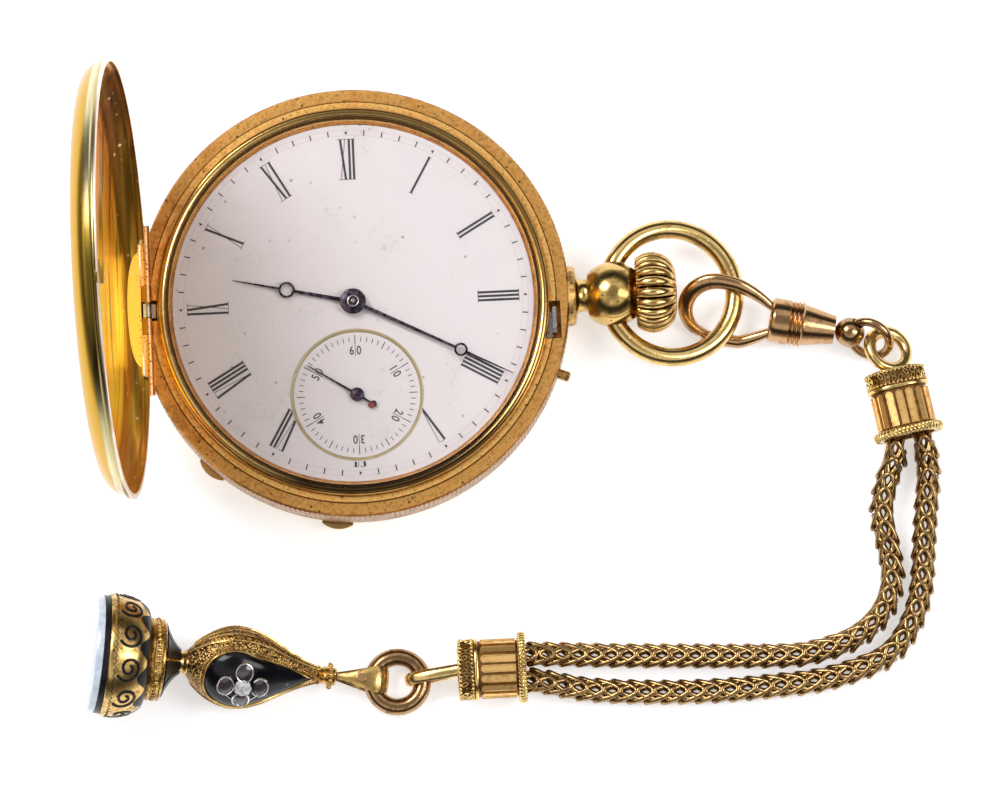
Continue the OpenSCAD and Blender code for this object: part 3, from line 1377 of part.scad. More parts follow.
case_band();
front_cover();
front_hinge_pin();
bezel();
crystal();
back_cover();
cuvette();
rear_hinge_pin();
lift_spring();
lock_spring();
pendant();
bow();
crown();
winding_stem();
set_pin();
dial();
seconds_dial();
hour_hand();
minute_hand();
seconds_hand();
main_plate();
barrel_bridge();
train_bridge();
mainspring_barrel();
mainspring();
ratchet_wheel();
crown_wheel();
centre_wheel();
third_wheel();
fourth_wheel();
escape_wheel();
pallet_lever();
pallet_cock();
balance_wheel();
hairspring();
balance_cock();
cannon_pinion();
minute_wheel();
hour_wheel();
movement_screws();
jewels();
clip_hook();
clip_gate();
clip_barrel();
swivel_ball();
swivel_ring();
end_cap_upper();
chain_strand_outer();
chain_strand_inner();
end_cap_lower();
jump_ring();
fob_bail();
bail_pin();
fob_body();
fob_panels();
fob_stones();
seal_base();
seal_stone();
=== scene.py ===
import math

import bmesh
import bpy
from mathutils import Matrix, Vector


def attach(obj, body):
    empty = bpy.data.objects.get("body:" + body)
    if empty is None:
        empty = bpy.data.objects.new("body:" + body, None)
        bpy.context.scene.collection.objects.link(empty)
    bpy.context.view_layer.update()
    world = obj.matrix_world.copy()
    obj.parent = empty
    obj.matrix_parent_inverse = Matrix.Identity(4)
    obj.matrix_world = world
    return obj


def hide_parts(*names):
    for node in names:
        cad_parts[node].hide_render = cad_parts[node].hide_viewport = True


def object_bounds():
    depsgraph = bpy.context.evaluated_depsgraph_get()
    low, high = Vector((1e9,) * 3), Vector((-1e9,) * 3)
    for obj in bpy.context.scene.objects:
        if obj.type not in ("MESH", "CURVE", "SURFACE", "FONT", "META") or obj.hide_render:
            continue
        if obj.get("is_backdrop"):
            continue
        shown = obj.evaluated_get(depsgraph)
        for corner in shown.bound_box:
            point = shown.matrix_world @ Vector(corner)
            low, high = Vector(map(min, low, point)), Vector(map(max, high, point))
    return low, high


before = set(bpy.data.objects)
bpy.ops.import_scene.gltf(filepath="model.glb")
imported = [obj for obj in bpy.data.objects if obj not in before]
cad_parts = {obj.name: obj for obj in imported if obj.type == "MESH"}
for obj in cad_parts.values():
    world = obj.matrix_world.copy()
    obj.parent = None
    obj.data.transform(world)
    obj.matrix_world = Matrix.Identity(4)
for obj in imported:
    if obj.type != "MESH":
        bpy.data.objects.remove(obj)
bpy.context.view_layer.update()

# Lengths are written in millimetres and become metres when a piece is settled
MM = 0.001
DIAL_TOP = 8.45
SECONDS_AT = Vector((0, -10.8, 0))
SECONDS_TOP = 8.25
PRINT_THICK = 0.03
HINGE_X, HINGE_Z = -23.8, 9.1
LID_Z, LID_TOP = 9.05, 13.1
PENDANT_Z = 5.6
UP = Vector((0, 0, 1))
FULL = 2 * math.pi
FINISH = {}


def turned_about(axis, degrees):
    return Matrix.Rotation(math.radians(degrees), 4, axis)


def moved(x, y, z):
    return Matrix.Translation((x, y, z))


# Places of the moving parts, as the frame holds them at rest
LID_OPEN = 93
LID = moved(HINGE_X, 0, HINGE_Z) @ turned_about("Y", -LID_OPEN) @ moved(-HINGE_X, 0, -HINGE_Z)
PENDANT = moved(0, 0, PENDANT_Z) @ turned_about("Y", 90)
CLIP = moved(42.3, -2.1, 2.8) @ turned_about("Z", -12)
LOOP = CLIP @ turned_about("X", 36)
JUMP = moved(3.08, -43.62, 1.745)
FOB = JUMP @ turned_about("Z", 172.8) @ moved(2.9, 0, 0) @ turned_about("Y", -9.763)
PEAR_ROLL = -36


# Camera

def set_camera():
    """Looks straight down on the dial from 0.7 m, a little from the side of 6 o'clock."""
    eye, aim = Vector((14.06, -111.79, 692.59)) * MM, Vector((16.457, -11.21, 0)) * MM
    roll = math.radians(2.664)
    back = (eye - aim).normalized()
    right = Vector((math.sin(roll), math.cos(roll), 0)).cross(back).normalized()
    up = back.cross(right)
    camera = bpy.data.objects.new("camera", bpy.data.cameras.new("camera"))
    camera.data.lens, camera.data.sensor_width = 215.64, 36
    camera.data.clip_start, camera.data.clip_end = 0.02, 30
    turned = Matrix((right, up, back)).transposed().to_4x4()
    camera.matrix_world = Matrix.Translation(eye) @ turned
    bpy.context.scene.collection.objects.link(camera)
    bpy.context.scene.camera = camera


# Shaping helpers

def place_at(point, ahead, hint, wide=1.0, high=1.0):
    """A place whose Z runs ahead and whose Y leans towards the hint."""
    z = Vector(ahead).normalized()
    x = Vector(hint).cross(z).normalized()
    y = z.cross(x)
    turned = Matrix((x, y, z)).transposed().to_4x4()
    return Matrix.Translation(point) @ turned @ Matrix.Diagonal((wide, high, 1, 1))


def stations(points, hints, radii, closed=False):
    """Places along a line of points; a radius may be one number or (wide, high)."""
    n = len(points)
    places = []
    for i, point in enumerate(points):
        before = points[i - 1] if closed or i > 0 else points[0]
        after = points[(i + 1) % n] if closed or i < n - 1 else points[-1]
        hint = hints[i] if isinstance(hints, list) else hints
        radius = radii[i] if isinstance(radii, list) else radii
        wide, high = radius if isinstance(radius, tuple) else (radius, radius)
        places.append(place_at(point, Vector(after) - Vector(before), hint, wide, high))
    return places


def circle(sides, radius=1.0, place=Matrix.Identity(4)):
    """A mesh that holds one open circle, with its points and edges."""
    bm = bmesh.new()
    bmesh.ops.create_circle(bm, cap_ends=False, segments=sides, radius=radius, matrix=place)
    return bm, list(bm.verts), list(bm.edges)


def grow_from(bm, edges):
    """Extrudes a run of edges and returns the new points and the edges between them."""
    grown = bmesh.ops.extrude_edge_only(bm, edges=edges)["geom"]
    verts = [g for g in grown if isinstance(g, bmesh.types.BMVert)]
    front = set(verts)
    return verts, [g for g in grown if isinstance(g, bmesh.types.BMEdge) and set(g.verts) <= front]


def close_skin(bm):
    """Fills the open ends and turns every face outwards."""
    bmesh.ops.holes_fill(bm, edges=[e for e in bm.edges if e.is_boundary], sides=0)
    bmesh.ops.recalc_face_normals(bm, faces=bm.faces)
    return bm


def sweep(places, sides, closed=False):
    """A round section carried from place to place."""
    bm, _, edges = circle(sides, place=places[0])
    route = places + [places[0]] if closed else places
    for here, there in zip(route, route[1:]):
        verts, edges = grow_from(bm, edges)
        bmesh.ops.transform(bm, matrix=there @ here.inverted(), verts=verts)
    if not closed:
        return close_skin(bm)
    bmesh.ops.remove_doubles(bm, verts=bm.verts, dist=1e-4)
    bmesh.ops.recalc_face_normals(bm, faces=bm.faces)
    return bm


def turn(outline, steps=96, closed=True):
    """Spins an outline of (radius, height) points about Z."""
    bm = bmesh.new()
    verts = [bm.verts.new((r, 0, z)) for r, z in outline]
    edges = [bm.edges.new(pair) for pair in zip(verts, verts[1:])]
    if closed:
        edges.append(bm.edges.new((verts[-1], verts[0])))
    bmesh.ops.spin(bm, geom=verts + edges, cent=(0, 0, 0), axis=(0, 0, 1),
                   angle=FULL, steps=steps, use_merge=True)
    bmesh.ops.remove_doubles(bm, verts=bm.verts, dist=1e-4)
    bmesh.ops.recalc_face_normals(bm, faces=bm.faces)
    return bm


def ring_form(radius, wire, steps, sides):
    """A ring of round wire lying in the XY plane."""
    return turn(arc((radius, 0), wire, 0, 360, sides)[:-1], steps)


def box_form(low, high, edge=0.0):
    """A box between two corners, its edges rounded."""
    bm = bmesh.new()
    low, high = Vector(low), Vector(high)
    size = high - low
    bmesh.ops.create_cube(bm, size=1, matrix=Matrix.Translation((low + high) / 2) @ Matrix.Diagonal((*size, 1)))
    if edge:
        bmesh.ops.bevel(bm, geom=list(bm.edges), offset=edge, segments=2, affect="EDGES", profile=0.5, material=-1)
    return bm


def bead_form(radius, around, rings):
    bm = bmesh.new()
    bmesh.ops.create_uvsphere(bm, u_segments=around, v_segments=rings, radius=radius)
    return bm


def rod_form(radius, length, place, sides=40):
    """A round rod with flat ends, its middle at a place and its length along Z."""
    bm = bmesh.new()
    bmesh.ops.create_cone(bm, cap_ends=True, segments=sides, radius1=radius, radius2=radius, depth=length, matrix=place)
    return bm


def flat_bar(length, width):
    """A thin printed stroke along X, its underside at zero."""
    return box_form((-length / 2, -width / 2, 0), (length / 2, width / 2, PRINT_THICK))


def put(bm, form, place=Matrix.Identity(4)):
    """Adds a form to a mesh in progress."""
    mesh = bpy.data.meshes.new("form")
    form.to_mesh(mesh)
    mesh.transform(place)
    bm.from_mesh(mesh)
    bpy.data.meshes.remove(mesh)


def put_all(bm, form, places):
    """Adds a form at each place."""
    for place in places:
        put(bm, form, place)


def settle(bm, name, finish, body, place=Matrix.Identity(4), sharp=40, stands_for=None):
    """Makes a piece of a mesh drawn in millimetres, in its place, riding on a body."""
    mesh = bpy.data.meshes.new(name)
    bm.to_mesh(mesh)
    bm.free()
    mesh.transform(Matrix.Diagonal((MM, MM, MM, 1)) @ place)
    mesh.shade_smooth()
    mesh.set_sharp_from_angle(angle=math.radians(sharp))
    piece = bpy.data.objects.new(name, mesh)
    bpy.context.scene.collection.objects.link(piece)
    mesh.materials.append(FINISH[finish])
    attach(piece, body)
    if stands_for:
        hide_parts(stands_for)
    return piece


def cut_away(bm, point, normal, near=lambda co: True, dist=0.0):
    """Removes what lies beyond a plane and closes the cut; near tells which points the cut may touch."""
    verts = [v for v in bm.verts if near(v.co)]
    held = set(verts)
    geom = verts + [g for part in (bm.edges, bm.faces) for g in part if held.issuperset(g.verts)]
    cut = bmesh.ops.bisect_plane(bm, geom=geom, dist=dist, plane_co=point, plane_no=normal,
                                 clear_outer=True)["geom_cut"]
    bmesh.ops.holes_fill(bm, edges=[g for g in cut if isinstance(g, bmesh.types.BMEdge)], sides=0)
    bmesh.ops.recalc_face_normals(bm, faces=bm.faces)


def arc(centre, radius, start, end, steps):
    """Points of an arc between two angles in degrees."""
    return [(centre[0] + radius * math.cos(a), centre[1] + radius * math.sin(a))
            for a in (math.radians(start + (end - start) * i / steps) for i in range(steps + 1))]


def around_dial(degrees, radius, z=DIAL_TOP, centre=Vector((0, 0, 0))):
    """A place on the dial at a clock angle, with X pointing outwards."""
    return Matrix.Translation(centre) @ turned_about("Z", 90 - degrees) @ moved(radius, 0, z)


# Shared effects

def new_group(name, inputs, outputs):
    tree = bpy.data.node_groups.new(name, "ShaderNodeTree")
    for label, value in inputs.items():
        kind = "NodeSocketVector" if isinstance(value, tuple) else "NodeSocketFloat"
        tree.interface.new_socket(label, in_out="INPUT", socket_type=kind).default_value = value
    for label in outputs:
        tree.interface.new_socket(label, in_out="OUTPUT", socket_type="NodeSocketFloat")
    return Nodes(tree), tree.nodes.new("NodeGroupInput"), tree.nodes.new("NodeGroupOutput")


class Nodes:
    """Adds nodes to a tree; a socket given as an input is linked, a number is set."""

    def __init__(self, tree):
        self.tree = tree

    def add(self, kind, inputs=None, **settings):
        node = self.tree.nodes.new(kind)
        for key, value in settings.items():
            setattr(node, key, value)
        for key, value in (inputs or {}).items():
            self.feed(node.inputs[key], value)
        return node

    def feed(self, socket, value):
        if isinstance(value, bpy.types.NodeSocket):
            self.tree.links.new(value, socket)
        else:
            socket.default_value = (*value, 1.0) if socket.type == "RGBA" else value

    def maths(self, operation, first, second=0.0, clamp=False):
        node = self.add("ShaderNodeMath", operation=operation, use_clamp=clamp)
        self.feed(node.inputs[0], first)
        self.feed(node.inputs[1], second)
        return node.outputs[0]

    def times(self, first, second):
        return self.maths("MULTIPLY", first, second)

    def step(self, value, low, high, to_low=0.0, to_high=1.0):
        return self.add("ShaderNodeMapRange", {"Value": value, "From Min": low, "From Max": high,
                                               "To Min": to_low, "To Max": to_high}).outputs[0]

    def blend(self, share, first, second, how="MIX"):
        node = self.add("ShaderNodeMix", data_type="RGBA", blend_type=how)
        self.feed(node.inputs[0], share)
        self.feed(node.inputs[6], first)
        self.feed(node.inputs[7], second)
        return node.outputs[2]

    def ramp(self, value, stops):
        node = self.add("ShaderNodeValToRGB")
        while len(node.color_ramp.elements) < len(stops):
            node.color_ramp.elements.new(0.5)
        for element, (at, colour) in zip(node.color_ramp.elements, stops):
            element.position, element.color = at, (*colour, 1.0)
        self.feed(node.inputs[0], value)
        return node.outputs[0]

    def in_mm(self):
        """The object's own coordinates in millimetres."""
        place = self.add("ShaderNodeTexCoord").outputs["Object"]
        return self.add("ShaderNodeVectorMath", {0: place, 1: (1000.0, 1000.0, 1000.0)},
                        operation="MULTIPLY").outputs[0]


def make_cloud_group(name, detail, roughness, distortion):
    """Uneven patches drawn out along one way: the stains of handling, or the streaks of a polished face, which on the
    lid are painted reflections.
    """
    n, ins, outs = new_group(name, {"Size": 2.0, "Low": 0.4, "High": 0.6, "Along": (1.0, 1.0, 1.0)}, ["Mask"])
    spread = n.add("ShaderNodeVectorMath", {0: n.in_mm(), 1: ins.outputs["Along"]}, operation="MULTIPLY").outputs[0]
    cloud = n.add("ShaderNodeTexNoise", {"Vector": spread, "Scale": n.maths("DIVIDE", 1.0, ins.outputs["Size"]),
                                         "Detail": detail, "Roughness": roughness, "Distortion": distortion})
    mask = n.add("ShaderNodeMapRange", {"Value": cloud.outputs["Fac"], "From Min": ins.outputs["Low"],
                                        "From Max": ins.outputs["High"]}, interpolation_type="SMOOTHSTEP")
    n.feed(outs.inputs["Mask"], mask.outputs[0])


def make_grain_group():
    """Fine pitting of old metal: small round pits among a soft grain."""
    n, ins, outs = new_group("grain", {"Size": 0.25, "Share": 0.28}, ["Height", "Pits"])
    place = n.in_mm()
    scale = n.maths("DIVIDE", 1.0, ins.outputs["Size"])
    cells = n.add("ShaderNodeTexVoronoi", {"Vector": place, "Scale": scale})
    soft = n.add("ShaderNodeTexNoise", {"Vector": place, "Scale": n.times(scale, 1.7), "Detail": 3.0})
    pits = n.step(cells.outputs["Distance"], 0.42, 0.2)
    pick = n.add("ShaderNodeSeparateColor", {0: cells.outputs["Color"]}).outputs[0]
    sunk = n.times(pits, n.maths("LESS_THAN", pick, ins.outputs["Share"]))
    n.feed(outs.inputs["Height"], n.maths("SUBTRACT", soft.outputs["Fac"], sunk))
    n.feed(outs.inputs["Pits"], sunk)


def make_scratch_group():
    """Hairline scratches running two ways."""
    n, ins, outs = new_group("scratches", {"Size": 3.0, "Stretch": 18.0}, ["Lines"])
    place = n.in_mm()
    stretch = n.add("ShaderNodeCombineXYZ", {0: 1.0, 1: ins.outputs["Stretch"], 2: 1.0}).outputs[0]
    total = 0.0
    for angles in ((0.4, 0.2, 0.5), (0.1, 0.7, 2.1)):
        turned = n.add("ShaderNodeMapping", {"Vector": place, "Rotation": angles})
        drawn = n.add("ShaderNodeVectorMath", {0: turned.outputs[0], 1: stretch}, operation="MULTIPLY")
        lines = n.add("ShaderNodeTexNoise", {"Vector": drawn.outputs[0],
                                             "Scale": n.maths("DIVIDE", 1.0, ins.outputs["Size"]), "Detail": 2.0})
        total = n.maths("ADD", n.step(lines.outputs["Fac"], 0.62, 0.7), total)
    n.feed(outs.inputs["Lines"], n.maths("MINIMUM", total, 1.0))


def make_round_group():
    """Distance from an axis parallel to Z, the turn about it, and the height, after a turn about Y at a pivot."""
    n, ins, outs = new_group("round_axis", {"Centre": (0.0, 0.0, 0.0), "Pivot": (0.0, 0.0, 0.0), "Open": 0.0},
                             ["Radius", "Turn", "Height", "Across", "Along"])
    spun = n.add("ShaderNodeVectorRotate", {"Vector": n.in_mm(), "Center": ins.outputs["Pivot"],
                                            "Angle": ins.outputs["Open"]}, rotation_type="Y_AXIS").outputs[0]
    from_axis = n.add("ShaderNodeVectorMath", {0: spun, 1: ins.outputs["Centre"]}, operation="SUBTRACT").outputs[0]
    x, y, z = n.add("ShaderNodeSeparateXYZ", {0: from_axis}).outputs
    squares = n.maths("ADD", n.times(x, x), n.times(y, y))
    for label, value in {"Radius": n.maths("SQRT", squares), "Turn": n.maths("ARCTAN2", y, x), "Height": z,
                         "Across": x, "Along": y}.items():
        n.feed(outs.inputs[label], value)


def make_box_group():
    """One inside a box given by its two corners in millimetres, with a soft edge."""
    n, ins, outs = new_group("region", {"Low": (0.0, 0.0, 0.0), "High": (1.0, 1.0, 1.0), "Soft": 0.1}, ["Mask"])
    place = n.in_mm()
    above = n.add("ShaderNodeVectorMath", {0: place, 1: ins.outputs["Low"]}, operation="SUBTRACT").outputs[0]
    below = n.add("ShaderNodeVectorMath", {0: ins.outputs["High"], 1: place}, operation="SUBTRACT").outputs[0]
    least = None
    for side in (above, below):
        for part in n.add("ShaderNodeSeparateXYZ", {0: side}).outputs:
            least = part if least is None else n.maths("MINIMUM", least, part)
    n.feed(outs.inputs["Mask"], n.maths("DIVIDE", least, ins.outputs["Soft"], clamp=True))


def make_shared_effects():
    make_cloud_group("stain", 5.0, 0.62, 0.3)
    make_cloud_group("streaks", 2.0, 0.5, 0.0)
    make_grain_group()
    make_scratch_group()
    make_round_group()
    make_box_group()


class Finish(Nodes):
    """A material with one Principled shader and the shared effects to feed it."""

    def __init__(self, name, colour, metal=1.0, rough=0.3, **constants):
        self.material = FINISH[name] = bpy.data.materials.new(name)
        self.material.use_nodes = True
        super().__init__(self.material.node_tree)
        self.shader = self.tree.nodes["Principled BSDF"]
        self.colour, self.rough, self.normal = colour, rough, None
        self.set("Base Color", colour)
        self.set("Metallic", metal)
        self.set("Roughness", rough)
        for label, value in constants.items():
            self.set(label.replace("_", " "), value)

    def set(self, label, value):
        self.feed(self.shader.inputs[label], value)

    def effect(self, name, output, **inputs):
        node = self.add("ShaderNodeGroup", node_tree=bpy.data.node_groups[name])
        for label, value in inputs.items():
            self.feed(node.inputs[label], value)
        return node.outputs[output] if output else node.outputs

    def stain(self, size, low, high):
        return self.effect("stain", "Mask", Size=size, Low=low, High=high)

    def streaks(self, size, along, low, high):
        return self.effect("streaks", "Mask", Size=size, Along=along, Low=low, High=high)

    def pits(self, size, share):
        return self.effect("grain", "Pits", Size=size, Share=share)

    def scratches(self, size):
        return self.effect("scratches", "Lines", Size=size)

    def paint(self, share, colour, how="MIX"):
        """Lays a colour over the base colour by a share."""
        self.colour = self.blend(share, self.colour, colour, how)
        self.set("Base Color", self.colour)

    def dull(self, share, rough):
        """Brings the roughness to a value by a share."""
        self.rough = self.step(share, 0.0, 1.0, self.rough, rough)
        self.set("Roughness", self.rough)

    def bump(self, height, depth):
        """Raises the surface by a height map, at most by a depth in millimetres."""
        node = self.add("ShaderNodeBump", {"Height": height, "Distance": depth * MM, "Strength": 1.0})
        if self.normal is not None:
            self.feed(node.inputs["Normal"], self.normal)
        self.normal = node.outputs[0]
        self.set("Normal", self.normal)


def old_gold(name, light, dark, rough=0.2, patch=2.5, low=0.45, high=0.65, scratch=0.003, grain=0.0, pits=0.0):
    """Gold with darker stained patches, rougher where it is stained, scratched and pitted."""
    f = Finish(name, light, 1.0, rough)
    stain = f.stain(patch, low, high)
    fine = f.stain(patch * 0.22, 0.4, 0.75)
    share = f.maths("ADD", f.times(stain, 0.7), f.times(fine, 0.25), clamp=True)
    f.paint(share, dark)
    f.dull(share, min(rough + 0.16, 0.9))
    if scratch:
        f.bump(f.scratches(3.0), -scratch)
    if grain:
        f.bump(f.effect("grain", "Height", Size=0.22), grain)
    if pits:
        f.paint(f.pits(0.45, pits), tuple(c * 0.25 for c in dark))
    return f


# Finishes

def case_gold():
    """The matt gilt rim, stained brown, with copper-red hinge knuckles, dark lines between its steps and painted bright
    highlight rings.
    """
    f = old_gold("case_gold", (0.90, 0.50, 0.15), (0.42, 0.19, 0.045), 0.28, 2.2, 0.42, 0.68, 0.002, 0.005, 0.05)
    fine = f.stain(0.35, 0.48, 0.66)
    f.paint(f.times(fine, 0.6), (0.30, 0.13, 0.03))
    radius = f.effect("round_axis", "Radius")
    # Painted highlight: the ramp lifts two rings next to the bezel above their own colour. It also darkens the line at
    # the step and the outer edge.
    f.paint(1.0, f.ramp(f.step(radius, 22.6, 25.1), [
        (0.0, (1, 1, 1)), (0.24, (1.3, 1.3, 1.3)), (0.30, (1.4, 1.4, 1.35)), (0.345, (0.1, 0.07, 0.05)),
        (0.40, (0.9, 0.85, 0.8)), (0.86, (1.0, 0.95, 0.9)), (0.92, (0.4, 0.3, 0.2)),
        (1.0, (0.8, 0.75, 0.6))]), "MULTIPLY")
    knuckle = f.effect("region", "Mask", Low=(-26.0, -10.2, 7.4), High=(-23.1, 10.2, 11.0), Soft=0.15)
    pitted = f.pits(0.3, 0.5)
    f.paint(knuckle, f.blend(pitted, (0.85, 0.45, 0.17), (0.12, 0.05, 0.02)))


def edge_gold():
    """The milled edge: bright crests, and brown hollows darkened further by painted shade."""
    f = old_gold("edge_gold", (0.38, 0.22, 0.08), (0.18, 0.09, 0.03), 0.3, 2.0)
    # Painted shade: the hollows between the flutes are darkened almost to black.
    f.paint(f.step(f.effect("round_axis", "Radius"), 25.03, 24.95), (0.035, 0.016, 0.006))


def lid_places(f):
    """Radius, turn, height, across and along of the lid, turned back to where it lies when closed."""
    return f.effect("round_axis", None, Pivot=(HINGE_X, 0.0, HINGE_Z), Open=math.radians(LID_OPEN))


def lid_outside():
    """Polished gold with painted reflections in long bands round the dome: dark olive below, pale olive above, cream at
    the crown.
    """
    f = Finish("lid_outside", (0.9, 0.75, 0.42), 1.0, 0.26)
    radius, _, height, across, along = lid_places(f)
    # Painted reflections: bands of light and dark by height, one set for the lower half of the dome and one for the
    # upper.
    lower = f.ramp(f.step(height, LID_Z, LID_TOP), [
        (0.0, (0.50, 0.36, 0.12)), (0.07, (0.16, 0.10, 0.015)), (0.30, (0.13, 0.085, 0.012)),
        (0.40, (0.34, 0.24, 0.035)), (0.50, (0.10, 0.065, 0.01)), (0.66, (0.16, 0.11, 0.02)),
        (0.76, (0.52, 0.43, 0.17)), (0.86, (0.70, 0.62, 0.36)), (0.94, (0.45, 0.36, 0.13)),
        (1.0, (0.78, 0.72, 0.52))])
    upper = f.ramp(f.step(height, LID_Z, LID_TOP), [
        (0.0, (0.80, 0.70, 0.52)), (0.10, (0.52, 0.42, 0.17)), (0.30, (0.78, 0.70, 0.42)),
        (0.40, (0.36, 0.27, 0.07)), (0.52, (0.55, 0.45, 0.19)), (0.64, (0.28, 0.20, 0.05)),
        (0.76, (0.62, 0.53, 0.28)), (0.88, (0.42, 0.34, 0.13)), (1.0, (0.80, 0.76, 0.60))])
    f.colour = f.blend(f.step(along, 1.0, 11.0), lower, upper)
    f.paint(f.step(along, -13.0, -23.0), upper)
    # Painted reflections: pale streaks and dark streaks drawn out round the dome.
    painted_streak = f.streaks(1.2, (1.0, 0.05, 0.1), 0.45, 0.62)
    f.paint(f.times(painted_streak, 0.35), (0.85, 0.74, 0.40))
    dark = f.streaks(1.7, (1.0, 0.06, 0.12), 0.52, 0.66)
    f.paint(f.times(dark, 0.5), (0.14, 0.09, 0.015))
    f.paint(f.step(radius, 24.22, 24.16), (0.62, 0.36, 0.05))
    f.paint(f.step(across, -23.05, -23.1), f.blend(f.pits(0.3, 0.4), (0.85, 0.46, 0.18), (0.14, 0.06, 0.02)))
    f.bump(f.scratches(3.0), -0.002)


def lid_inside():
    """Amber gold with painted reflections in long streaks: dark brown towards 12 o'clock, bright yellow in the middle,
    orange below; it also glows faintly by a painted emission.
    """
    # Painted glow: the lining emits its own colour at strength 0.3, though it is no lamp.
    f = Finish("lid_inside", (0.80, 0.45, 0.08), 1.0, 0.24, Emission_Strength=0.3)
    radius, _, _, across, along = lid_places(f)
    # Painted reflection: the colour runs from dark brown at 12 o'clock through bright yellow to orange below.
    f.colour = f.ramp(f.step(along, 22.0, -24.0), [
        (0.0, (0.42, 0.20, 0.03)), (0.20, (0.78, 0.42, 0.04)), (0.36, (0.92, 0.50, 0.035)),
        (0.50, (1.0, 0.68, 0.05)), (0.74, (1.0, 0.66, 0.05)), (0.84, (0.95, 0.38, 0.015)),
        (1.0, (0.50, 0.20, 0.015))])
    # Painted reflections: orange streaks and dark streaks.
    painted_streak = f.streaks(0.9, (1.0, 0.03, 0.22), 0.47, 0.56)
    f.paint(f.times(painted_streak, 0.7), (0.90, 0.26, 0.008))
    dark = f.streaks(0.7, (1.0, 0.03, 0.2), 0.54, 0.62)
    f.paint(f.times(dark, 0.75), (0.12, 0.035, 0.006))
    # Painted dark reflection on the shoulder on the hinge side, near black towards 12 o'clock and brown below.
    near = f.times(f.step(radius, 20.8, 22.3), f.step(across, 2.0, -4.0))
    f.paint(f.times(near, 0.82), f.blend(f.step(along, 3.0, -5.0), (0.05, 0.018, 0.005), (0.34, 0.15, 0.02)))
    # Dark lines at the steps of the lining, with a painted bright edge beside the first.
    line = f.ramp(f.step(radius, 0.0, 24.3), [
        (0.0, (1, 1, 1)), (0.795, (1, 1, 1)), (0.80, (0.15, 0.1, 0.08)), (0.812, (1.1, 1.1, 1)),
        (0.90, (1, 1, 1)), (0.903, (0.25, 0.18, 0.12)), (0.912, (1, 1, 1)), (1.0, (1, 1, 1))])
    f.paint(1.0, line, "MULTIPLY")
    f.paint(f.pits(0.6, 0.05), (0.8, 0.6, 0.3))
    # The painted glow takes the lining's colour.
    f.set("Emission Color", f.colour)


def lid_wall_gold():
    """The half-moon wall beside the hinge: bright yellow with a stippled edge, made to glow by a painted emission."""
    f = old_gold("lid_wall_gold", (1.0, 0.78, 0.14), (1.0, 0.66, 0.08), 0.3, 3.0, 0.5, 0.8, 0.002)
    rim = f.step(lid_places(f)["Height"], 10.2, 9.9)
    f.paint(f.times(rim, f.pits(0.26, 0.6)), (0.2, 0.08, 0.01))
    # Painted glow: the wall emits its own colour at strength 0.4, though it is no lamp.
    f.set("Emission Color", f.colour)
    f.set("Emission Strength", 0.4)


def bezel_gold():
    """The polished bezel: painted highlight rings and a painted dark band on the inner bevel, painted dark reflections
    below and brown ones above, and a grained copper line beside the dial.
    """
    f = old_gold("bezel_gold", (0.84, 0.56, 0.20), (0.45, 0.24, 0.07), 0.14, 2.6, 0.48, 0.7, 0.0015)
    radius, _, _, across, along = f.effect("round_axis", None)
    # Painted highlights and reflections: the ramp brightens thin rings above their own colour and darkens the bands
    # between them.
    f.paint(1.0, f.ramp(f.step(radius, 20.9, 22.75), [
        (0.0, (0.9, 0.62, 0.42)), (0.17, (0.85, 0.6, 0.4)), (0.22, (1.1, 1.1, 1.2)),
        (0.27, (0.16, 0.1, 0.06)), (0.42, (0.36, 0.26, 0.2)), (0.48, (1.15, 1.2, 1.3)),
        (0.60, (1.0, 0.95, 0.9)), (0.86, (0.34, 0.26, 0.19)), (0.95, (1.1, 1.0, 0.9)),
        (1.0, (0.1, 0.06, 0.03))]), "MULTIPLY")
    # Painted reflection: within the band of the bevel, near black towards 6 o'clock.
    below = f.times(f.step(along, -6.0, -17.0), f.step(across, -16.0, -7.0))
    band = f.times(f.step(radius, 21.4, 21.55), f.step(radius, 22.5, 22.3))
    f.paint(f.times(f.times(below, band), 0.93), (0.025, 0.013, 0.006))
    # Painted reflection: within the same band, dark brown towards 12 o'clock.
    above = f.times(f.step(along, -4.0, 8.0), f.step(across, -12.0, -2.0))
    f.paint(f.times(f.times(above, band), 0.6), (0.16, 0.10, 0.035))
    inner = f.step(radius, 21.35, 21.2)
    f.paint(f.times(inner, f.pits(0.26, 0.55)), (0.10, 0.04, 0.015))
    f.dull(inner, 0.5)


def crown_gold():
    """Old gold, with painted shade in the creases between the lobes."""
    f = old_gold("crown_gold", (0.78, 0.52, 0.19), (0.32, 0.17, 0.045), 0.17, 1.4)
    radius, angle, *_ = f.effect("round_axis", None, Pivot=(0.0, 0.0, PENDANT_Z), Centre=(0.0, 0.0, PENDANT_Z),
                                 Open=math.radians(-90))
    # Painted shade: the creases between the lobes are darkened almost to black.
    crease = f.step(f.maths("COSINE", f.times(angle, 20.0)), 0.62, 0.97)
    f.paint(f.times(f.times(crease, f.step(radius, 2.2, 3.0)), 0.92), (0.035, 0.015, 0.004))


def polished_steel():
    f = Finish("steel", (0.56, 0.55, 0.54), 1.0, 0.22)
    lines = f.scratches(2.5)
    f.dull(lines, 0.42)
    f.bump(lines, -0.002)
    f.paint(f.stain(1.4, 0.55, 0.7), (0.25, 0.2, 0.16))


def blued_steel():
    f = Finish("blued_steel", (0.022, 0.02, 0.03), 0.9, 0.24)
    stain = f.stain(0.7, 0.4, 0.65)
    f.paint(stain, (0.07, 0.04, 0.06))
    f.dull(stain, 0.4)


def tail_red():
    f = Finish("tail_red", (0.22, 0.05, 0.035), 0.6, 0.3)
    f.paint(f.stain(0.6, 0.4, 0.65), (0.08, 0.02, 0.02))


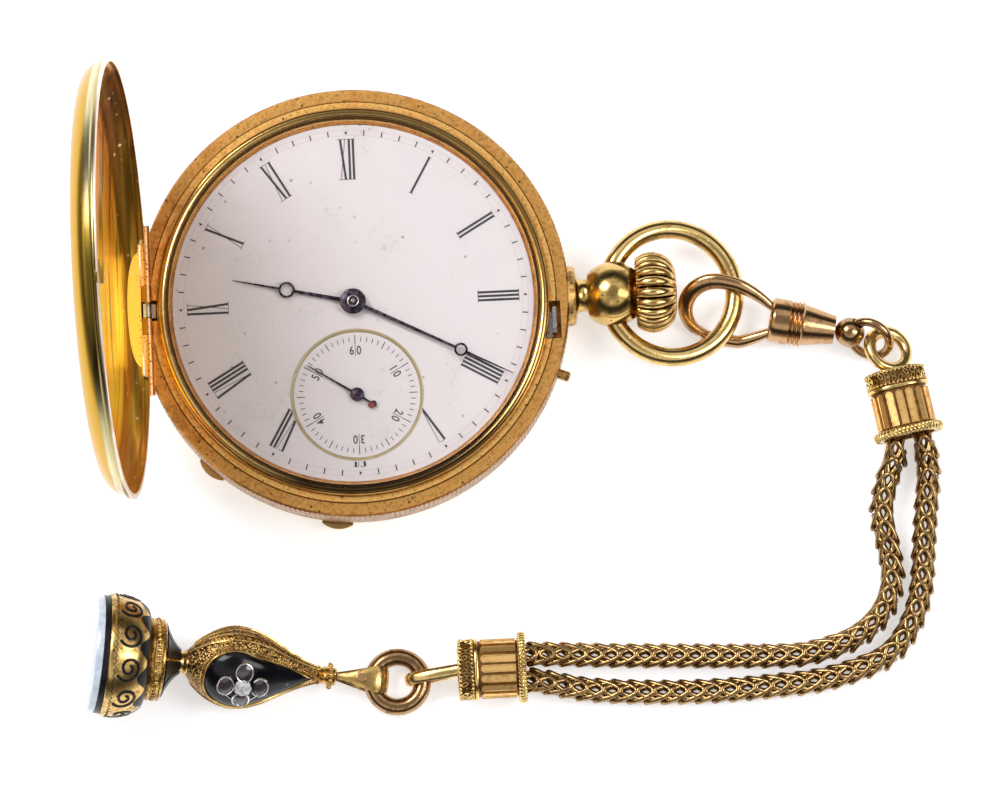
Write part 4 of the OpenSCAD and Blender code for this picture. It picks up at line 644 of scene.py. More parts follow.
def dial_enamel():
    """White enamel gone slightly grey and pink, worn and specked."""
    f = Finish("dial_enamel", (0.47, 0.435, 0.445), 0.0, 0.22, Coat_Weight=0.35, Coat_Roughness=0.1)
    wear = f.stain(6.5, 0.5, 0.75)
    fine = f.stain(0.6, 0.52, 0.68)
    f.paint(f.times(wear, 0.5), (0.42, 0.40, 0.385))
    f.paint(f.times(f.times(wear, fine), 0.55), (0.30, 0.27, 0.22))
    where = f.stain(7.0, 0.50, 0.62)
    specks = f.times(f.pits(0.55, 0.035), where)
    f.paint(f.times(specks, 0.8), (0.12, 0.10, 0.09))
    hair = f.streaks(1.4, (1.0, 0.06, 1.0), 0.68, 0.74)
    f.paint(f.times(hair, 0.12), (0.4, 0.38, 0.38))


def printed(name, colour, worn, size=0.5):
    """Ink of the dial, worn in places."""
    f = Finish(name, colour, 0.0, 0.35)
    f.paint(f.stain(size, 0.5, 0.85), worn)


def crystal_glass():
    """Thin watch glass that lets the light through to the dial."""
    f = Finish("crystal", (1, 1, 1), 0.0, 0.02, IOR=1.08, Transmission_Weight=1.0)
    f.dull(f.scratches(3.5), 0.06)
    clear = f.add("ShaderNodeBsdfTransparent")
    mixed = f.add("ShaderNodeMixShader", {0: f.add("ShaderNodeLightPath").outputs["Is Shadow Ray"],
                                          1: f.shader.outputs[0], 2: clear.outputs[0]})
    f.feed(f.tree.nodes["Material Output"].inputs["Surface"], mixed.outputs[0])


def ruby_stone():
    f = Finish("ruby", (0.5, 0.02, 0.07), 0.0, 0.08, Coat_Weight=0.6, IOR=1.7)
    f.paint(f.stain(0.3, 0.3, 0.7), (0.25, 0.01, 0.03))


def onyx_stone():
    f = Finish("onyx", (0.003, 0.003, 0.005), 0.0, 0.16, Specular_IOR_Level=0.3)
    dust = f.stain(0.5, 0.58, 0.82)
    f.paint(dust, (0.02, 0.018, 0.016))
    f.dull(dust, 0.32)
    f.paint(f.pits(0.6, 0.04), (0.16, 0.14, 0.12))


def black_enamel():
    f = Finish("black_enamel", (0.006, 0.006, 0.008), 0.0, 0.3, Specular_IOR_Level=0.25)
    worn = f.stain(0.5, 0.55, 0.75)
    f.paint(worn, (0.06, 0.04, 0.02))
    f.dull(worn, 0.45)


def cut_stone(name, deep, pale, rough=0.1, size=1.6):
    f = Finish(name, pale, 0.0, rough, Coat_Weight=0.7, IOR=1.55)
    f.paint(f.stain(size, 0.3, 0.7), deep)


def pear_gold():
    """Granulated gold: small round grains with dark hollows between them."""
    f = old_gold("pear_gold", (0.80, 0.52, 0.18), (0.34, 0.17, 0.045), 0.24, 1.6)
    cells = f.add("ShaderNodeTexVoronoi", {"Vector": f.in_mm(), "Scale": 3.7})
    hollow = f.step(cells.outputs["Distance"], 0.35, 0.62)
    f.paint(f.times(hollow, 0.85), (0.09, 0.045, 0.012))
    f.bump(f.step(cells.outputs["Distance"], 0.7, 0.0), 0.08)


# Each gold: light and dark colour, roughness, size, start and end of its patches, scratches, grain, pits
GOLDS = {
    "cover_gold": ((0.88, 0.66, 0.30), (0.50, 0.30, 0.10), 0.2, 6.0, 0.45, 0.75),
    "rim_gold": ((1.0, 0.84, 0.74), (0.8, 0.6, 0.44), 0.3, 4.0),
    "bow_gold": ((0.80, 0.56, 0.22), (0.42, 0.27, 0.085), 0.15, 2.2),
    "ball_gold": ((0.70, 0.47, 0.16), (0.26, 0.15, 0.04), 0.13, 2.4, 0.45, 0.65, 0.003, 0.0, 0.04),
    "base_gold": ((0.70, 0.42, 0.14), (0.25, 0.12, 0.03), 0.35, 0.8, 0.45, 0.65, 0.003, 0.02, 0.3),
    "hinge_gold": ((0.66, 0.36, 0.15), (0.22, 0.10, 0.04), 0.3, 1.0, 0.45, 0.65, 0.003, 0.0, 0.3),
    "movement_gilt": ((0.83, 0.60, 0.28), (0.52, 0.33, 0.13), 0.34, 2.0, 0.5, 0.7, 0.0, 0.006),
    "rose_gold": ((0.55, 0.33, 0.16), (0.17, 0.08, 0.03), 0.15, 1.7, 0.5, 0.72),
    "ring_gold": ((0.47, 0.29, 0.14), (0.15, 0.075, 0.03), 0.16, 1.0),
    "chain_gold": ((0.46, 0.29, 0.12), (0.09, 0.045, 0.016), 0.2, 0.7),
    "cap_dark": ((0.20, 0.10, 0.03), (0.06, 0.03, 0.01), 0.4, 0.9),
    "cap_gold": ((0.83, 0.60, 0.24), (0.26, 0.155, 0.045), 0.2, 1.2, 0.5, 0.72, 0.003, 0.0, 0.03),
    "cap_panel_gold": ((0.90, 0.58, 0.22), (0.50, 0.28, 0.09), 0.34, 0.9),
    "fob_gold": ((0.72, 0.48, 0.17), (0.22, 0.115, 0.03), 0.2, 0.8, 0.44, 0.64, 0.003, 0.0, 0.05),
    "silver_line": ((0.80, 0.77, 0.75), (0.4, 0.35, 0.33), 0.2, 0.6),
}


def make_finishes():
    for make in (case_gold, edge_gold, lid_outside, lid_inside, lid_wall_gold, bezel_gold, crown_gold, polished_steel,
                 blued_steel, tail_red, dial_enamel, crystal_glass, ruby_stone, onyx_stone, pear_gold, black_enamel):
        make()
    for name, values in GOLDS.items():
        old_gold(name, *values)
    printed("dial_ink", (0.013, 0.012, 0.014), (0.06, 0.055, 0.06))
    printed("faint_ink", (0.33, 0.29, 0.30), (0.5, 0.47, 0.47), 0.9)
    printed("seconds_rim", (0.27, 0.22, 0.12), (0.16, 0.12, 0.06), 0.8)
    cut_stone("flower_stone", (0.02, 0.014, 0.018), (0.06, 0.045, 0.05), 0.1, 0.9)
    cut_stone("bright_stone", (0.30, 0.29, 0.30), (0.72, 0.72, 0.73), 0.05, 0.5)
    cut_stone("seal_stone", (0.50, 0.57, 0.72), (0.74, 0.80, 0.90))


# Which finish each solid of the frame shows
DRESS = {
    "case_gold": ["case_band"],
    "cover_gold": ["back_cover", "cuvette"],
    "bow_gold": ["bow"],
    "base_gold": ["set_pin"],
    "hinge_gold": ["front_hinge_pin", "rear_hinge_pin"],
    "steel": ["lift_spring", "lock_spring", "winding_stem", "mainspring", "ratchet_wheel", "crown_wheel",
              "escape_wheel", "pallet_lever", "hairspring", "cannon_pinion"],
    "blued_steel": ["hour_hand", "minute_hand", "seconds_hand", "movement_screws"],
    "dial_enamel": ["dial", "seconds_dial"],
    "crystal": ["crystal"],
    "movement_gilt": ["main_plate", "barrel_bridge", "train_bridge", "mainspring_barrel", "centre_wheel",
                      "third_wheel", "fourth_wheel", "pallet_cock", "balance_wheel", "balance_cock",
                      "minute_wheel", "hour_wheel"],
    "ruby": ["jewels"],
    "rose_gold": ["clip_barrel", "bail_pin"],
    "ring_gold": ["swivel_ball", "swivel_ring", "jump_ring"],
}


def dress_frame():
    """Gives the frame's own solids their finishes."""
    for finish, nodes in DRESS.items():
        for node in nodes:
            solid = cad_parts[node]
            for slot in solid.material_slots:
                slot.material = FINISH[finish]
            if not solid.material_slots:
                solid.data.materials.append(FINISH[finish])


# Chain

CAP_LEN = 8
STRAND_D = 2.8
# A link's wire, half width by the place of its bends, lean and rise; and how the links follow each other
LINK_WIRE = 0.34
LINK_HALF = {"top": 0.94, "side": 1.18}
LINK_LEAN, LINK_RISE = 1.12, 1.064
LINK_PITCH, LINK_INSET = 1.932, 0.33


def at_cap(place, heading, out, side):
    """A point in front of a cap's open end, to one side of its middle."""
    a = math.radians(heading)
    ahead, left = Vector((math.cos(a), math.sin(a), 0)), Vector((-math.sin(a), math.cos(a), 0))
    return Vector(place) - 0.3 * UP + (CAP_LEN + out) * ahead + side * (STRAND_D + 0.2) / 2 * left


CAP_UPPER = ((62.35, -10.1, 3.3), -79.7)
CAP_LOWER = ((10.1, -42.75, 3.3), 0)
OUTER_ROUTE = [at_cap(*CAP_UPPER, -1.1, 1), at_cap(*CAP_UPPER, 0.3, 1),
               (65.7, -20.3, 2.3), (65.8, -22.4, 1.6), (65.3, -26.6, 1.5), (64.8, -31, 1.5), (64.4, -34.6, 1.5),
               (63.6, -37.8, 1.5), (62.2, -40.6, 1.5), (60.4, -42.7, 1.5), (58, -44, 1.5), (55, -45, 1.5),
               (51.6, -45.7, 1.5), (48, -46, 1.5), (42, -46.3, 1.5), (36, -46.3, 1.5), (30, -46, 1.5),
               (25, -45.5, 1.6), (21, -44.7, 2.3), at_cap(*CAP_LOWER, 0.3, -1), at_cap(*CAP_LOWER, -1.1, -1)]
INNER_ROUTE = [at_cap(*CAP_UPPER, -1.1, -1), at_cap(*CAP_UPPER, 0.3, -1),
               (61.9, -20.5, 2.4), (61, -22.8, 1.7), (60.2, -26.4, 1.5), (60.7, -30.4, 1.5), (61, -33.6, 1.5),
               (60.4, -36.4, 1.5), (58.9, -38.8, 1.5), (56.7, -40.6, 1.5), (54, -41.7, 1.5), (51, -42.4, 1.5),
               (48, -42.6, 1.5), (42, -42.4, 1.5), (36, -42.1, 1.5), (30, -41.8, 1.5), (25, -41.5, 1.6),
               (21, -41.3, 2.3), at_cap(*CAP_LOWER, 0.3, 1), at_cap(*CAP_LOWER, -1.1, 1)]


class Route:
    """A smooth line through points, read by the length run along it."""

    def __init__(self, points):
        points = [Vector(p) for p in points]
        ends = [2 * points[0] - points[1]] + points + [2 * points[-1] - points[-2]]
        self.line, self.run = [], [0.0]
        for a, b, c, d in zip(ends, ends[1:], ends[2:], ends[3:]):
            for k in range(8):
                t = k / 8
                self.line.append(0.5 * (2 * b + (c - a) * t + (2 * a - 5 * b + 4 * c - d) * t * t
                                        + (3 * b - a - 3 * c + d) * t ** 3))
        self.line.append(points[-1])
        for p, q in zip(self.line, self.line[1:]):
            self.run.append(self.run[-1] + (q - p).length)
        self.length = self.run[-1]

    def at(self, s):
        for i in range(len(self.line) - 1):
            if s <= self.run[i + 1] or i == len(self.line) - 2:
                return self.line[i].lerp(self.line[i + 1], (s - self.run[i]) / (self.run[i + 1] - self.run[i]))


def chain_link(ahead, bend):
    """One wire loop folded in two, its bends above and below the strand or at its sides."""
    points, hints = [], []
    for k in range(24):
        across, up = math.cos(FULL * k / 24), math.sin(FULL * k / 24)
        reach = across if bend == "side" else up
        points.append(Vector((ahead + STRAND_D * reach ** 2, LINK_HALF[bend] * across, LINK_RISE * up)))
        hints.append(Vector((0, LINK_LEAN * across, LINK_RISE * up)))
    return sweep(stations(points, hints, LINK_WIRE, closed=True), 6, closed=True)


def make_strand(name, points):
    """A strand of looped links laid along its route, woven two ways."""
    route = Route(points)
    bm, pair = bmesh.new(), bmesh.new()
    put(pair, chain_link(0.0, "top"))
    put(pair, chain_link(STRAND_D - LINK_PITCH, "side"))
    free_run = route.length - STRAND_D - 2 * LINK_INSET
    gaps = round(free_run / LINK_PITCH)
    for i in range(gaps + 1):
        s = LINK_INSET + free_run * i / gaps
        here = route.at(s)
        way = route.at(s + STRAND_D) - here
        left = UP.cross(way).normalized()
        ahead = way.normalized()
        put(bm, pair, Matrix.Translation(here) @ Matrix((ahead, left, ahead.cross(left))).transposed().to_4x4())
    strand = settle(bm, name.replace("chain_strand", "links"), "chain_gold", "chain", sharp=80,
                    stands_for=name)


# Lid and case

SHOULDER = 3.5
CROWN_FLAT = 0.5


def shell_line(r, depth):
    """Half section of a cover: rim bead, round shoulder and dome, from the rim to the axis."""
    rise = depth * 0.8
    line = [(r - 0.1, 0), (r, 0.12), (r, 0.45), (r - 0.08, 0.62), (r - 0.2, 0.75), (r - 0.45, 0.8)]
    for i in range(1, 15):
        t = math.radians(i * 90 / 14)
        line.append((r - SHOULDER + 3 * math.cos(t), 0.85 + (rise - 0.85) * math.sin(t)))
    dome = r - SHOULDER - CROWN_FLAT
    for k in (1 - i / 10 for i in range(1, 11)):
        line.append((CROWN_FLAT + dome * k, depth - (depth - rise) * k * k))
    return line + [(0, depth)]


def make_lid():
    """The front cover, standing open: shell, lining, half-moon wall, knuckles, lug for the catch and rim."""
    shell = turn(shell_line(24.3, 3.5)[::-1] + shell_line(24.8, 4), 200, closed=False)
    lining = turn(shell_line(24.24, 3.44)[::-1] + shell_line(24.3, 3.5), 200, closed=False)
    # The wall starts above the knuckles, which stay in view beside it
    wall = turn([(0, 0.02)] + shell_line(24.55, 3.75), 200)
    cut_away(wall, (0, 0, 0.68), -UP)
    cut_away(wall, (-22.85, 0, 0), (1, 0, 0))
    bead = turn([(24.3, -0.01), (24.74, -0.03), (24.84, 0.06), (24.84, 0.2), (24.7, 0.1), (24.3, 0.05)], 200)
    for form, x in ((shell, -23.0), (lining, -22.8), (wall, -23.15), (bead, -23.2)):
        cut_away(form, (x, 0, 0), (-1, 0, 0))
    for y0, y1 in ((-2.8, -0.95), (0.95, 2.8)):
        put(shell, rod_form(0.6, y1 - y0, moved(HINGE_X, (y0 + y1) / 2, 0.05) @ turned_about("X", 90)))
        put(shell, box_form((HINGE_X, y0, 0.05), (-22.85, y1, 0.55)))
    put(shell, box_form((23.46, -4.5, 0), (24.6, -1.9, 0.4), 0.05))
    put(shell, box_form((23.46, -4.5, -0.6), (23.84, -1.9, 0.3), 0.05))
    for form, name, finish, node in ((shell, "lid_shell", "lid_outside", "front_cover"),
                                     (lining, "lid_lining", "lid_inside", None),
                                     (wall, "lid_wall", "lid_wall_gold", None), (bead, "lid_rim", "rim_gold", None)):
        settle(form, name, finish, "front_lid", LID @ moved(0, 0, LID_Z), stands_for=node)


def make_milled_edge():
    """The coin edge round the case middle, open where the seat of the pendant lies."""
    flutes, crest, root, back, low, high = 270, 25.06, 24.92, 24.7, 3.35, 8.6
    bm, _, first = circle(flutes * 2, root, moved(0, 0, low))
    edges = first
    for z, radius, deep in ((low + 0.1, crest, crest - root), (high - 0.1, crest, crest - root), (high, root, 0.0)):
        verts, edges = grow_from(bm, edges)
        for vert in verts:
            a = math.atan2(vert.co.y, vert.co.x)
            r = radius - deep * (round(a / FULL * flutes * 2) % 2)
            vert.co = (r * math.cos(a), r * math.sin(a), z)
    for edge_run, z in ((edges, high), (first, low)):
        for vert in grow_from(bm, edge_run)[0]:
            vert.co = (vert.co.x * back / root, vert.co.y * back / root, z)
    bmesh.ops.bridge_loops(bm, edges=[e for e in bm.edges if e.is_boundary])
    gone = [f for f in bm.faces if f.calc_center_median().x > 0 and abs(f.calc_center_median().y) < 3.5]
    bmesh.ops.delete(bm, geom=gone, context="FACES")
    settle(close_skin(bm), "milled_edge", "edge_gold", "case", sharp=25)


def make_bezel():
    """The bezel, turned smooth, with its round crest and the seat of the crystal."""
    outline = ([(22.65, 8.25), (22.7, 8.35)] + arc((22.15, 9.5), 0.55, 0, 90, 12)
               + [(21.9, 10.03), (21.76, 9.93), (21.7, 9.8), (21.7, 9.35), (21.4, 9.35), (20.95, 8.6), (20.95, 8.1),
                  (22.3, 8.1)])
    settle(turn(outline, 288), "bezel_ring", "bezel_gold", "case", stands_for="bezel")


def make_hinge():
    """The polished steel knuckle in the middle of the front hinge."""
    bm = rod_form(0.5, 1.7, moved(HINGE_X, 0, HINGE_Z) @ turned_about("X", 90))
    bmesh.ops.bevel(bm, geom=list(bm.edges), offset=0.06, segments=1, affect="EDGES", profile=0.5, material=-1)
    settle(bm, "hinge_middle", "steel", "case")


# Pendant and crown

BALL_X = 30.1
BALL_R = 3.8


def make_pendant():
    """Stippled seat on the case, hollow neck and polished ball."""
    seat = turn([(0, 24.2), (3.45, 24.2), (3.5, 24.4), (3.5, 25.3), (3.4, 25.5), (3.2, 25.75), (0, 25.75)], 72, False)
    cut_away(seat, (2.7, 0, 0), (1, 0, 0))
    cut_away(seat, (-3.3, 0, 0), (-1, 0, 0))
    settle(seat, "pendant_seat", "base_gold", "case", PENDANT)
    outline = ([(0, 25.4), (2.9, 25.4), (2.9, 25.75), (2.6, 25.9)] + arc((2.85, 26.7), 1, 236, 126, 14)
               + arc((0, BALL_X), BALL_R, -50, 90, 36))
    outline[-1] = (0, BALL_X + BALL_R)
    settle(turn(outline, 112, False), "pendant_ball", "ball_gold", "case", PENDANT, stands_for="pendant")


def make_crown():
    """The crown with its round lobes and sharp creases."""
    lobes, per_lobe = 20, 14
    side_r, side_x, arc_r = 1.9, 34.7, 2.8
    arched = arc((side_r, side_x), arc_r, -42.7, 86, 22)
    outline = ([(0, 34.9), (3.65, 34.9), (3.65, 32.85), (3.8, 32.8)] + arched + [(1.2, 37.5), (0, 37.5)])
    bm = turn(outline, lobes * per_lobe, False)
    for vert in bm.verts:
        r, x = math.hypot(vert.co.x, vert.co.y), vert.co.z
        reach = math.hypot(r - side_r, x - side_x)
        if r < side_r + 0.3 or abs(reach - arc_r) > 0.02:
            continue
        lean = math.degrees(math.atan2(x - side_x, r - side_r))
        fade = max(0.0, min(1.0, (78 - lean) / 30))
        share = (math.atan2(vert.co.y, vert.co.x) / FULL * lobes) % 1
        u = 2 * share - 1
        deep = 0.62 * fade * (1 - math.sqrt(max(0.0, 1 - 0.985 * u * u)))
        keep = (arc_r - deep) / arc_r
        new_r = side_r + (r - side_r) * keep
        vert.co = (vert.co.x * new_r / r, vert.co.y * new_r / r, side_x + (x - side_x) * keep)
    settle(bm, "crown_lobed", "crown_gold", "crown_button", PENDANT, 50, "crown")


# Clip

HOOK_R = 3.4
NOSE_AT = -1.66
NOSE_GAP = 0.07


def cut_nose(bm, x, side):
    """Cuts the slanted face where the hook's nose and the gate's tip slide past each other."""
    cut_away(bm, (x, -3.0, 0), (side * 0.98, side * 0.2, 0), lambda co: co.y < -1.5 and co.x < 0.5, 1e-5)


def make_hook():
    """The flat tapered hook that runs from its nose round the loop into the barrel."""
    line = arc((0, 0), HOOK_R, 248, 90, 32)
    line += [(6.4 * k / 18, HOOK_R - 1.85 * max(0.0, (k / 18 - 0.2) / 0.8) ** 1.6) for k in range(1, 19)]
    radii, points = [], []
    for i, (x, y) in enumerate(line):
        t = i / (len(line) - 1)
        swell = math.sin(math.pi * min(1, t * 1.05)) ** 0.6 if t < 0.95 else 0.4
        wide = 0.5 + 0.5 * math.sin(math.pi * min(1, t * 1.02)) ** 0.8
        high = 0.5 + 0.12 * swell
        out = Vector((x, y)).normalized() * (wide - 0.5) if x < 0 else Vector((0, wide - 0.5))
        points.append(Vector((x + out.x, y + out.y, max(0.0, high - 0.6))))
        radii.append((wide, high))
    radii[0] = (0.4, 0.42)
    bm = sweep(stations(points, UP, radii), 20)
    cut_nose(bm, NOSE_AT, 1)
    settle(bm, "hook_band", "rose_gold", "clip", LOOP, stands_for="clip_hook")


def make_gate():
    """The gate that closes the hook, with its eye in the mouth of the barrel."""
    line = arc((0, 0), HOOK_R, -128, -90, 8)
    line += [(2.9 * k / 6, -HOOK_R) for k in range(1, 7)]
    line += [(2.9 + 3.65 * k / 10, 1.83 * (k / 10) ** 1.2 - HOOK_R) for k in range(1, 11)]
    radii = [(0.55 + 0.22 * math.sin(math.pi * k / (len(line) - 1)), 0.62) for k in range(len(line))]
    points = [Vector((x, y - wide + 0.6, 0.02)) for (x, y), (wide, _) in zip(line, radii)]
    bm = sweep(stations(points, UP, radii), 20)
    cut_nose(bm, NOSE_AT + NOSE_GAP, -1)
    put(bm, rod_form(0.7, 1.1, moved(7, -1.4, 0), 28))
    settle(bm, "gate_band", "rose_gold", "gate", LOOP, stands_for="clip_gate")


# End caps

CAP_W, CAP_T = 6.6, 5.0
CAP_SIDE = (CAP_W - CAP_T) / 2


def oval_point(degrees, grow):
    """A point of the cap's outline at a turn."""
    a = math.radians(degrees)
    x, y = math.cos(a), math.sin(a)
    return Vector((math.copysign(CAP_SIDE, x) + (CAP_T / 2 + grow) * x, (CAP_T / 2 + grow) * y))


def oval_run(count, grow):
    """Even places round the cap's outline, each with the way out: one round end and one flat side, twice."""
    half = CAP_T / 2 + grow
    bend = math.pi * half
    length = bend + 2 * CAP_SIDE
    for k in range(count):
        sign, s = 1, (k + 0.5) * 2 * length / count
        if s >= length:
            sign, s = -1, s - length
        a = min(s, bend) / half - math.pi / 2
        out = Vector((math.cos(a), math.sin(a), 0))
        yield sign * (Vector((CAP_SIDE - max(0.0, s - bend), 0, 0)) + half * out), sign * out


def oval_shell(levels, sides=64):
    """A closed skin through outlines of the cap, each (grow, height)."""
    bm, verts, edges = circle(sides)
    turns = {math.degrees(math.atan2(v.co.y, v.co.x)) + 180 / sides: v.co.xy for v in verts}
    for i, (grow, z) in enumerate(levels):
        if i:
            verts, edges = grow_from(bm, edges)
        turn_of = {v: min(turns, key=lambda a: (turns[a] - v.co.xy).length) for v in verts}
        turns = {a: oval_point(a, grow) for a in turns}
        for vert, a in turn_of.items():
            vert.co = (*turns[a], z)
    return close_skin(bm)


def panel_form(width, length):
    """A thin raised panel with a round top."""
    bm = box_form((0, -width / 2, 0), (0.26, width / 2, length))
    top = [e for e in bm.edges if all(v.co.z > length - 0.01 for v in e.verts)
           and abs(e.verts[0].co.y - e.verts[1].co.y) < 1e-6]
    bmesh.ops.bevel(bm, geom=top, offset=width * 0.46, segments=5, affect="EDGES", profile=0.5, material=-1)
    face = max((f for f in bm.faces if f.calc_center_median().x > 0.25), key=lambda f: f.calc_area())
    bmesh.ops.inset_region(bm, faces=[face], thickness=0.1, depth=0.0)
    bmesh.ops.inset_region(bm, faces=[face], thickness=0.05, depth=-0.07)
    return bm


def out_from(point, out, z):
    """A place on the cap's side whose X points outwards and whose Z runs along the cap."""
    return Matrix.Translation(point + UP * z) @ Matrix((out, UP.cross(out), UP)).transposed().to_4x4()


def cap_forms():
    """Body, panels and dark ground of one cap, its closed end at zero."""
    body = oval_shell([(-1.9, 0.0), (-0.2, 0.0), (0.02, 0.1), (0.05, 0.2), (-0.15, 0.4), (-0.15, 1.6), (0.0, 1.9),
                       (0.28, 2.02), (0.34, 2.2), (0.28, 2.36), (0.0, 2.46), (-0.3, 2.5), (-0.3, 6.85), (0.1, 6.95),
                       (0.45, 7.2), (0.45, 7.75), (0.2, 7.95), (-0.25, 7.95), (-0.25, 6.9), (-1.9, 6.9)])
    bead, leaf, rope = bead_form(0.2, 8, 6), ring_form(0.36, 0.11, 12, 6), bead_form(0.4, 10, 8)
    for z in (0.3, 1.72):
        put_all(body, bead, (Matrix.Translation(point + UP * z) for point, _ in oval_run(40, 0.12)))
    # Chased leaves between the beads: small slanted crescents in two rows
    for row, (z, lean) in enumerate(((0.78, 35), (1.28, -35))):
        slanted = turned_about("X", lean) @ turned_about("Y", 90) @ Matrix.Diagonal((1.0, 0.62, 1, 1))
        put_all(body, leaf, (out_from(point, out, z) @ slanted
                             for k, (point, out) in enumerate(oval_run(26, 0.12)) if (k + row) % 4 != 3))
    twist = turned_about("X", 38) @ Matrix.Diagonal((0.95, 0.8, 1.5, 1))
    put_all(body, rope, (out_from(point, out, 7.47) @ twist for point, out in oval_run(46, 0.5)))
    panels, ground = bmesh.new(), bmesh.new()
    put_all(panels, panel_form(0.86, 4.05), (out_from(point, out, 6.75) @ turned_about("X", 180)
                                             for point, out in oval_run(16, -0.14)))
    for low, high in ((0.3, 1.75), (2.48, 6.88)):
        put(ground, oval_shell([(-0.6, low), (-0.06, low), (-0.06, high), (-0.6, high)]))
    return body, panels, ground


def make_caps():
    """Both caps, the upper with its loop and the lower with its strap round the jump ring."""
    body, panels, ground = cap_forms()
    ends = {"end_cap_upper": (loop_ring(), moved(61.9, -7.6, 2.8) @ turned_about("Z", -50) @ turned_about("X", -30)),
            "end_cap_lower": (strap_form(4.9, 0.72, 0.7, 0.34), strap_place())}
    for name, (place, heading) in {"end_cap_upper": CAP_UPPER, "end_cap_lower": CAP_LOWER}.items():
        at = moved(*place) @ turned_about("Z", heading + 90) @ turned_about("X", 90)
        whole, side, under = bmesh.new(), bmesh.new(), bmesh.new()
        put(whole, body, at)
        put(whole, *ends[name])
        put(side, panels, at)
        put(under, ground, at)
        settle(whole, name + "_chased", "cap_gold", "chain", stands_for=name)
        settle(side, name + "_panels", "cap_panel_gold", "chain", sharp=30)
        settle(under, name + "_ground", "cap_dark", "chain")


def loop_ring(steps=72):
    """The loop of the upper cap, thicker towards the cap."""
    points = [Vector((x, y, 0)) for x, y in arc((0, 0), 2.35, 0, 360, steps)[:-1]]
    radii = [0.62 + 0.16 * (1 - math.cos(FULL * k / steps + math.radians(30))) / 2 for k in range(steps)]
    return sweep(stations(points, UP, radii, closed=True), 16, closed=True)


JUMP_REACH = 2.9


def strap_place():
    """Where the lower cap's strap lies: from the jump ring towards the cap."""
    way = Vector(CAP_LOWER[0]) - JUMP.translation
    rise = math.degrees(math.atan2(way.z, way.xy.length - JUMP_REACH))
    return (JUMP @ turned_about("Z", math.degrees(math.atan2(way.y, way.x))) @ moved(JUMP_REACH, 0, 0)
            @ turned_about("Y", -rise))


def strap_form(length, half_eye, half_root, thick):
    """A flat strap bent round the jump ring, its two leaves running together towards its root."""
    eye, middle, root = 1.235 + thick, -0.175, 0.5
    leaf = [Vector((middle + (length - middle) * (1 - k / 8), 0,
                    root + (eye - root) * math.sin(math.pi / 2 * k / 8) ** 1.2)) for k in range(8)]
    bend = [Vector((x, 0, z)) for x, z in arc((middle, 0), eye, 90, 270, 22)]
    points = leaf + bend + [Vector((p.x, 0, -p.z)) for p in leaf[::-1]]
    radii = [(half_eye + (half_root - half_eye) * max(0.0, min(1.0, p.x / length)) ** 0.8, thick) for p in points]
    ends = [points[0]] + points + [points[-1]]
    hints = [(after - before).cross(Vector((0, 1, 0))) for before, after in zip(ends, ends[2:])]
    return sweep(stations(points, hints, radii), 14)


# Fob

PEAR_S, PEAR_LEN, PEAR_FLAT = 6.1, 15.6, 0.82
ROLLED = turned_about("X", PEAR_ROLL)
SIDES = (ROLLED, turned_about("X", PEAR_ROLL + 180))
PEAR_LINE = [(5.0, 0.5), (6.1, 0.8), (8.0, 1.5), (9.8, 2.4), (11.2, 3.2), (12.5, 3.95), (14.0, 4.58), (15.2, 4.85),
             (16.2, 4.92), (17.1, 4.8), (18.2, 4.45), (19.2, 3.95), (20.0, 3.4), (20.7, 2.8), (21.2, 2.25),
             (21.8, 1.5), (22.6, 0.9)]


def pear_half(s):
    """Half width of the pear at a length along the fob."""
    for (s0, a), (s1, b), (s2, c), (s3, d) in zip(PEAR_LINE, PEAR_LINE[1:], PEAR_LINE[2:], PEAR_LINE[3:]):
        if s <= s2 or s2 == PEAR_LINE[-2][0]:
            t = (s - s1) / (s2 - s1)
            m1, m2 = (c - a) / (s2 - s0) * (s2 - s1), (d - b) / (s3 - s1) * (s2 - s1)
            return ((2 * t ** 3 - 3 * t * t + 1) * b + (t ** 3 - 2 * t * t + t) * m1
                    + (3 * t * t - 2 * t ** 3) * c + (t ** 3 - t * t) * m2)


def pear_at(s, a, grow=0.0):
    """A point of the pear's skin at a length along the fob and an angle from its side."""
    half = pear_half(s)
    return Vector((s, (half + grow) * math.cos(a), (half * PEAR_FLAT + grow) * math.sin(a)))


def pear_lift(s, y, grow=0.0):
    """A point of the pear's front above a place (s, y)."""
    half = pear_half(s) + 0.001
    inside = max(0.0, 1 - (y / half) ** 2)
    return Vector((s, y, half * PEAR_FLAT * math.sqrt(inside) + grow))


def drop_outline(shrink=0.0, count=60):
    """The pointed drop of the black panel, as (s, y) points: a round end and two bowed sides to the point."""
    centre, end, point = 16.2, 3.6 - shrink, Vector((7.4 + shrink * 2.2, 0))
    lean = math.pi - math.acos(end / (centre - point.x))
    first = Vector((centre + end * math.cos(lean), end * math.sin(lean)))
    line = []
    for k in range(count):
        u = (k / count - 0.6) / 0.2
        if u < 0:
            a = lean * (2 * k / count / 0.6 - 1)
            line.append((centre + end * math.cos(a), end * math.sin(a)))
        else:
            share = min(u, 2 - u)
            p = first.lerp(point, share)
            y = p.y + 0.25 * math.sin(math.pi * share)
            line.append((p.x, y if u < 1 else -y))
    return line


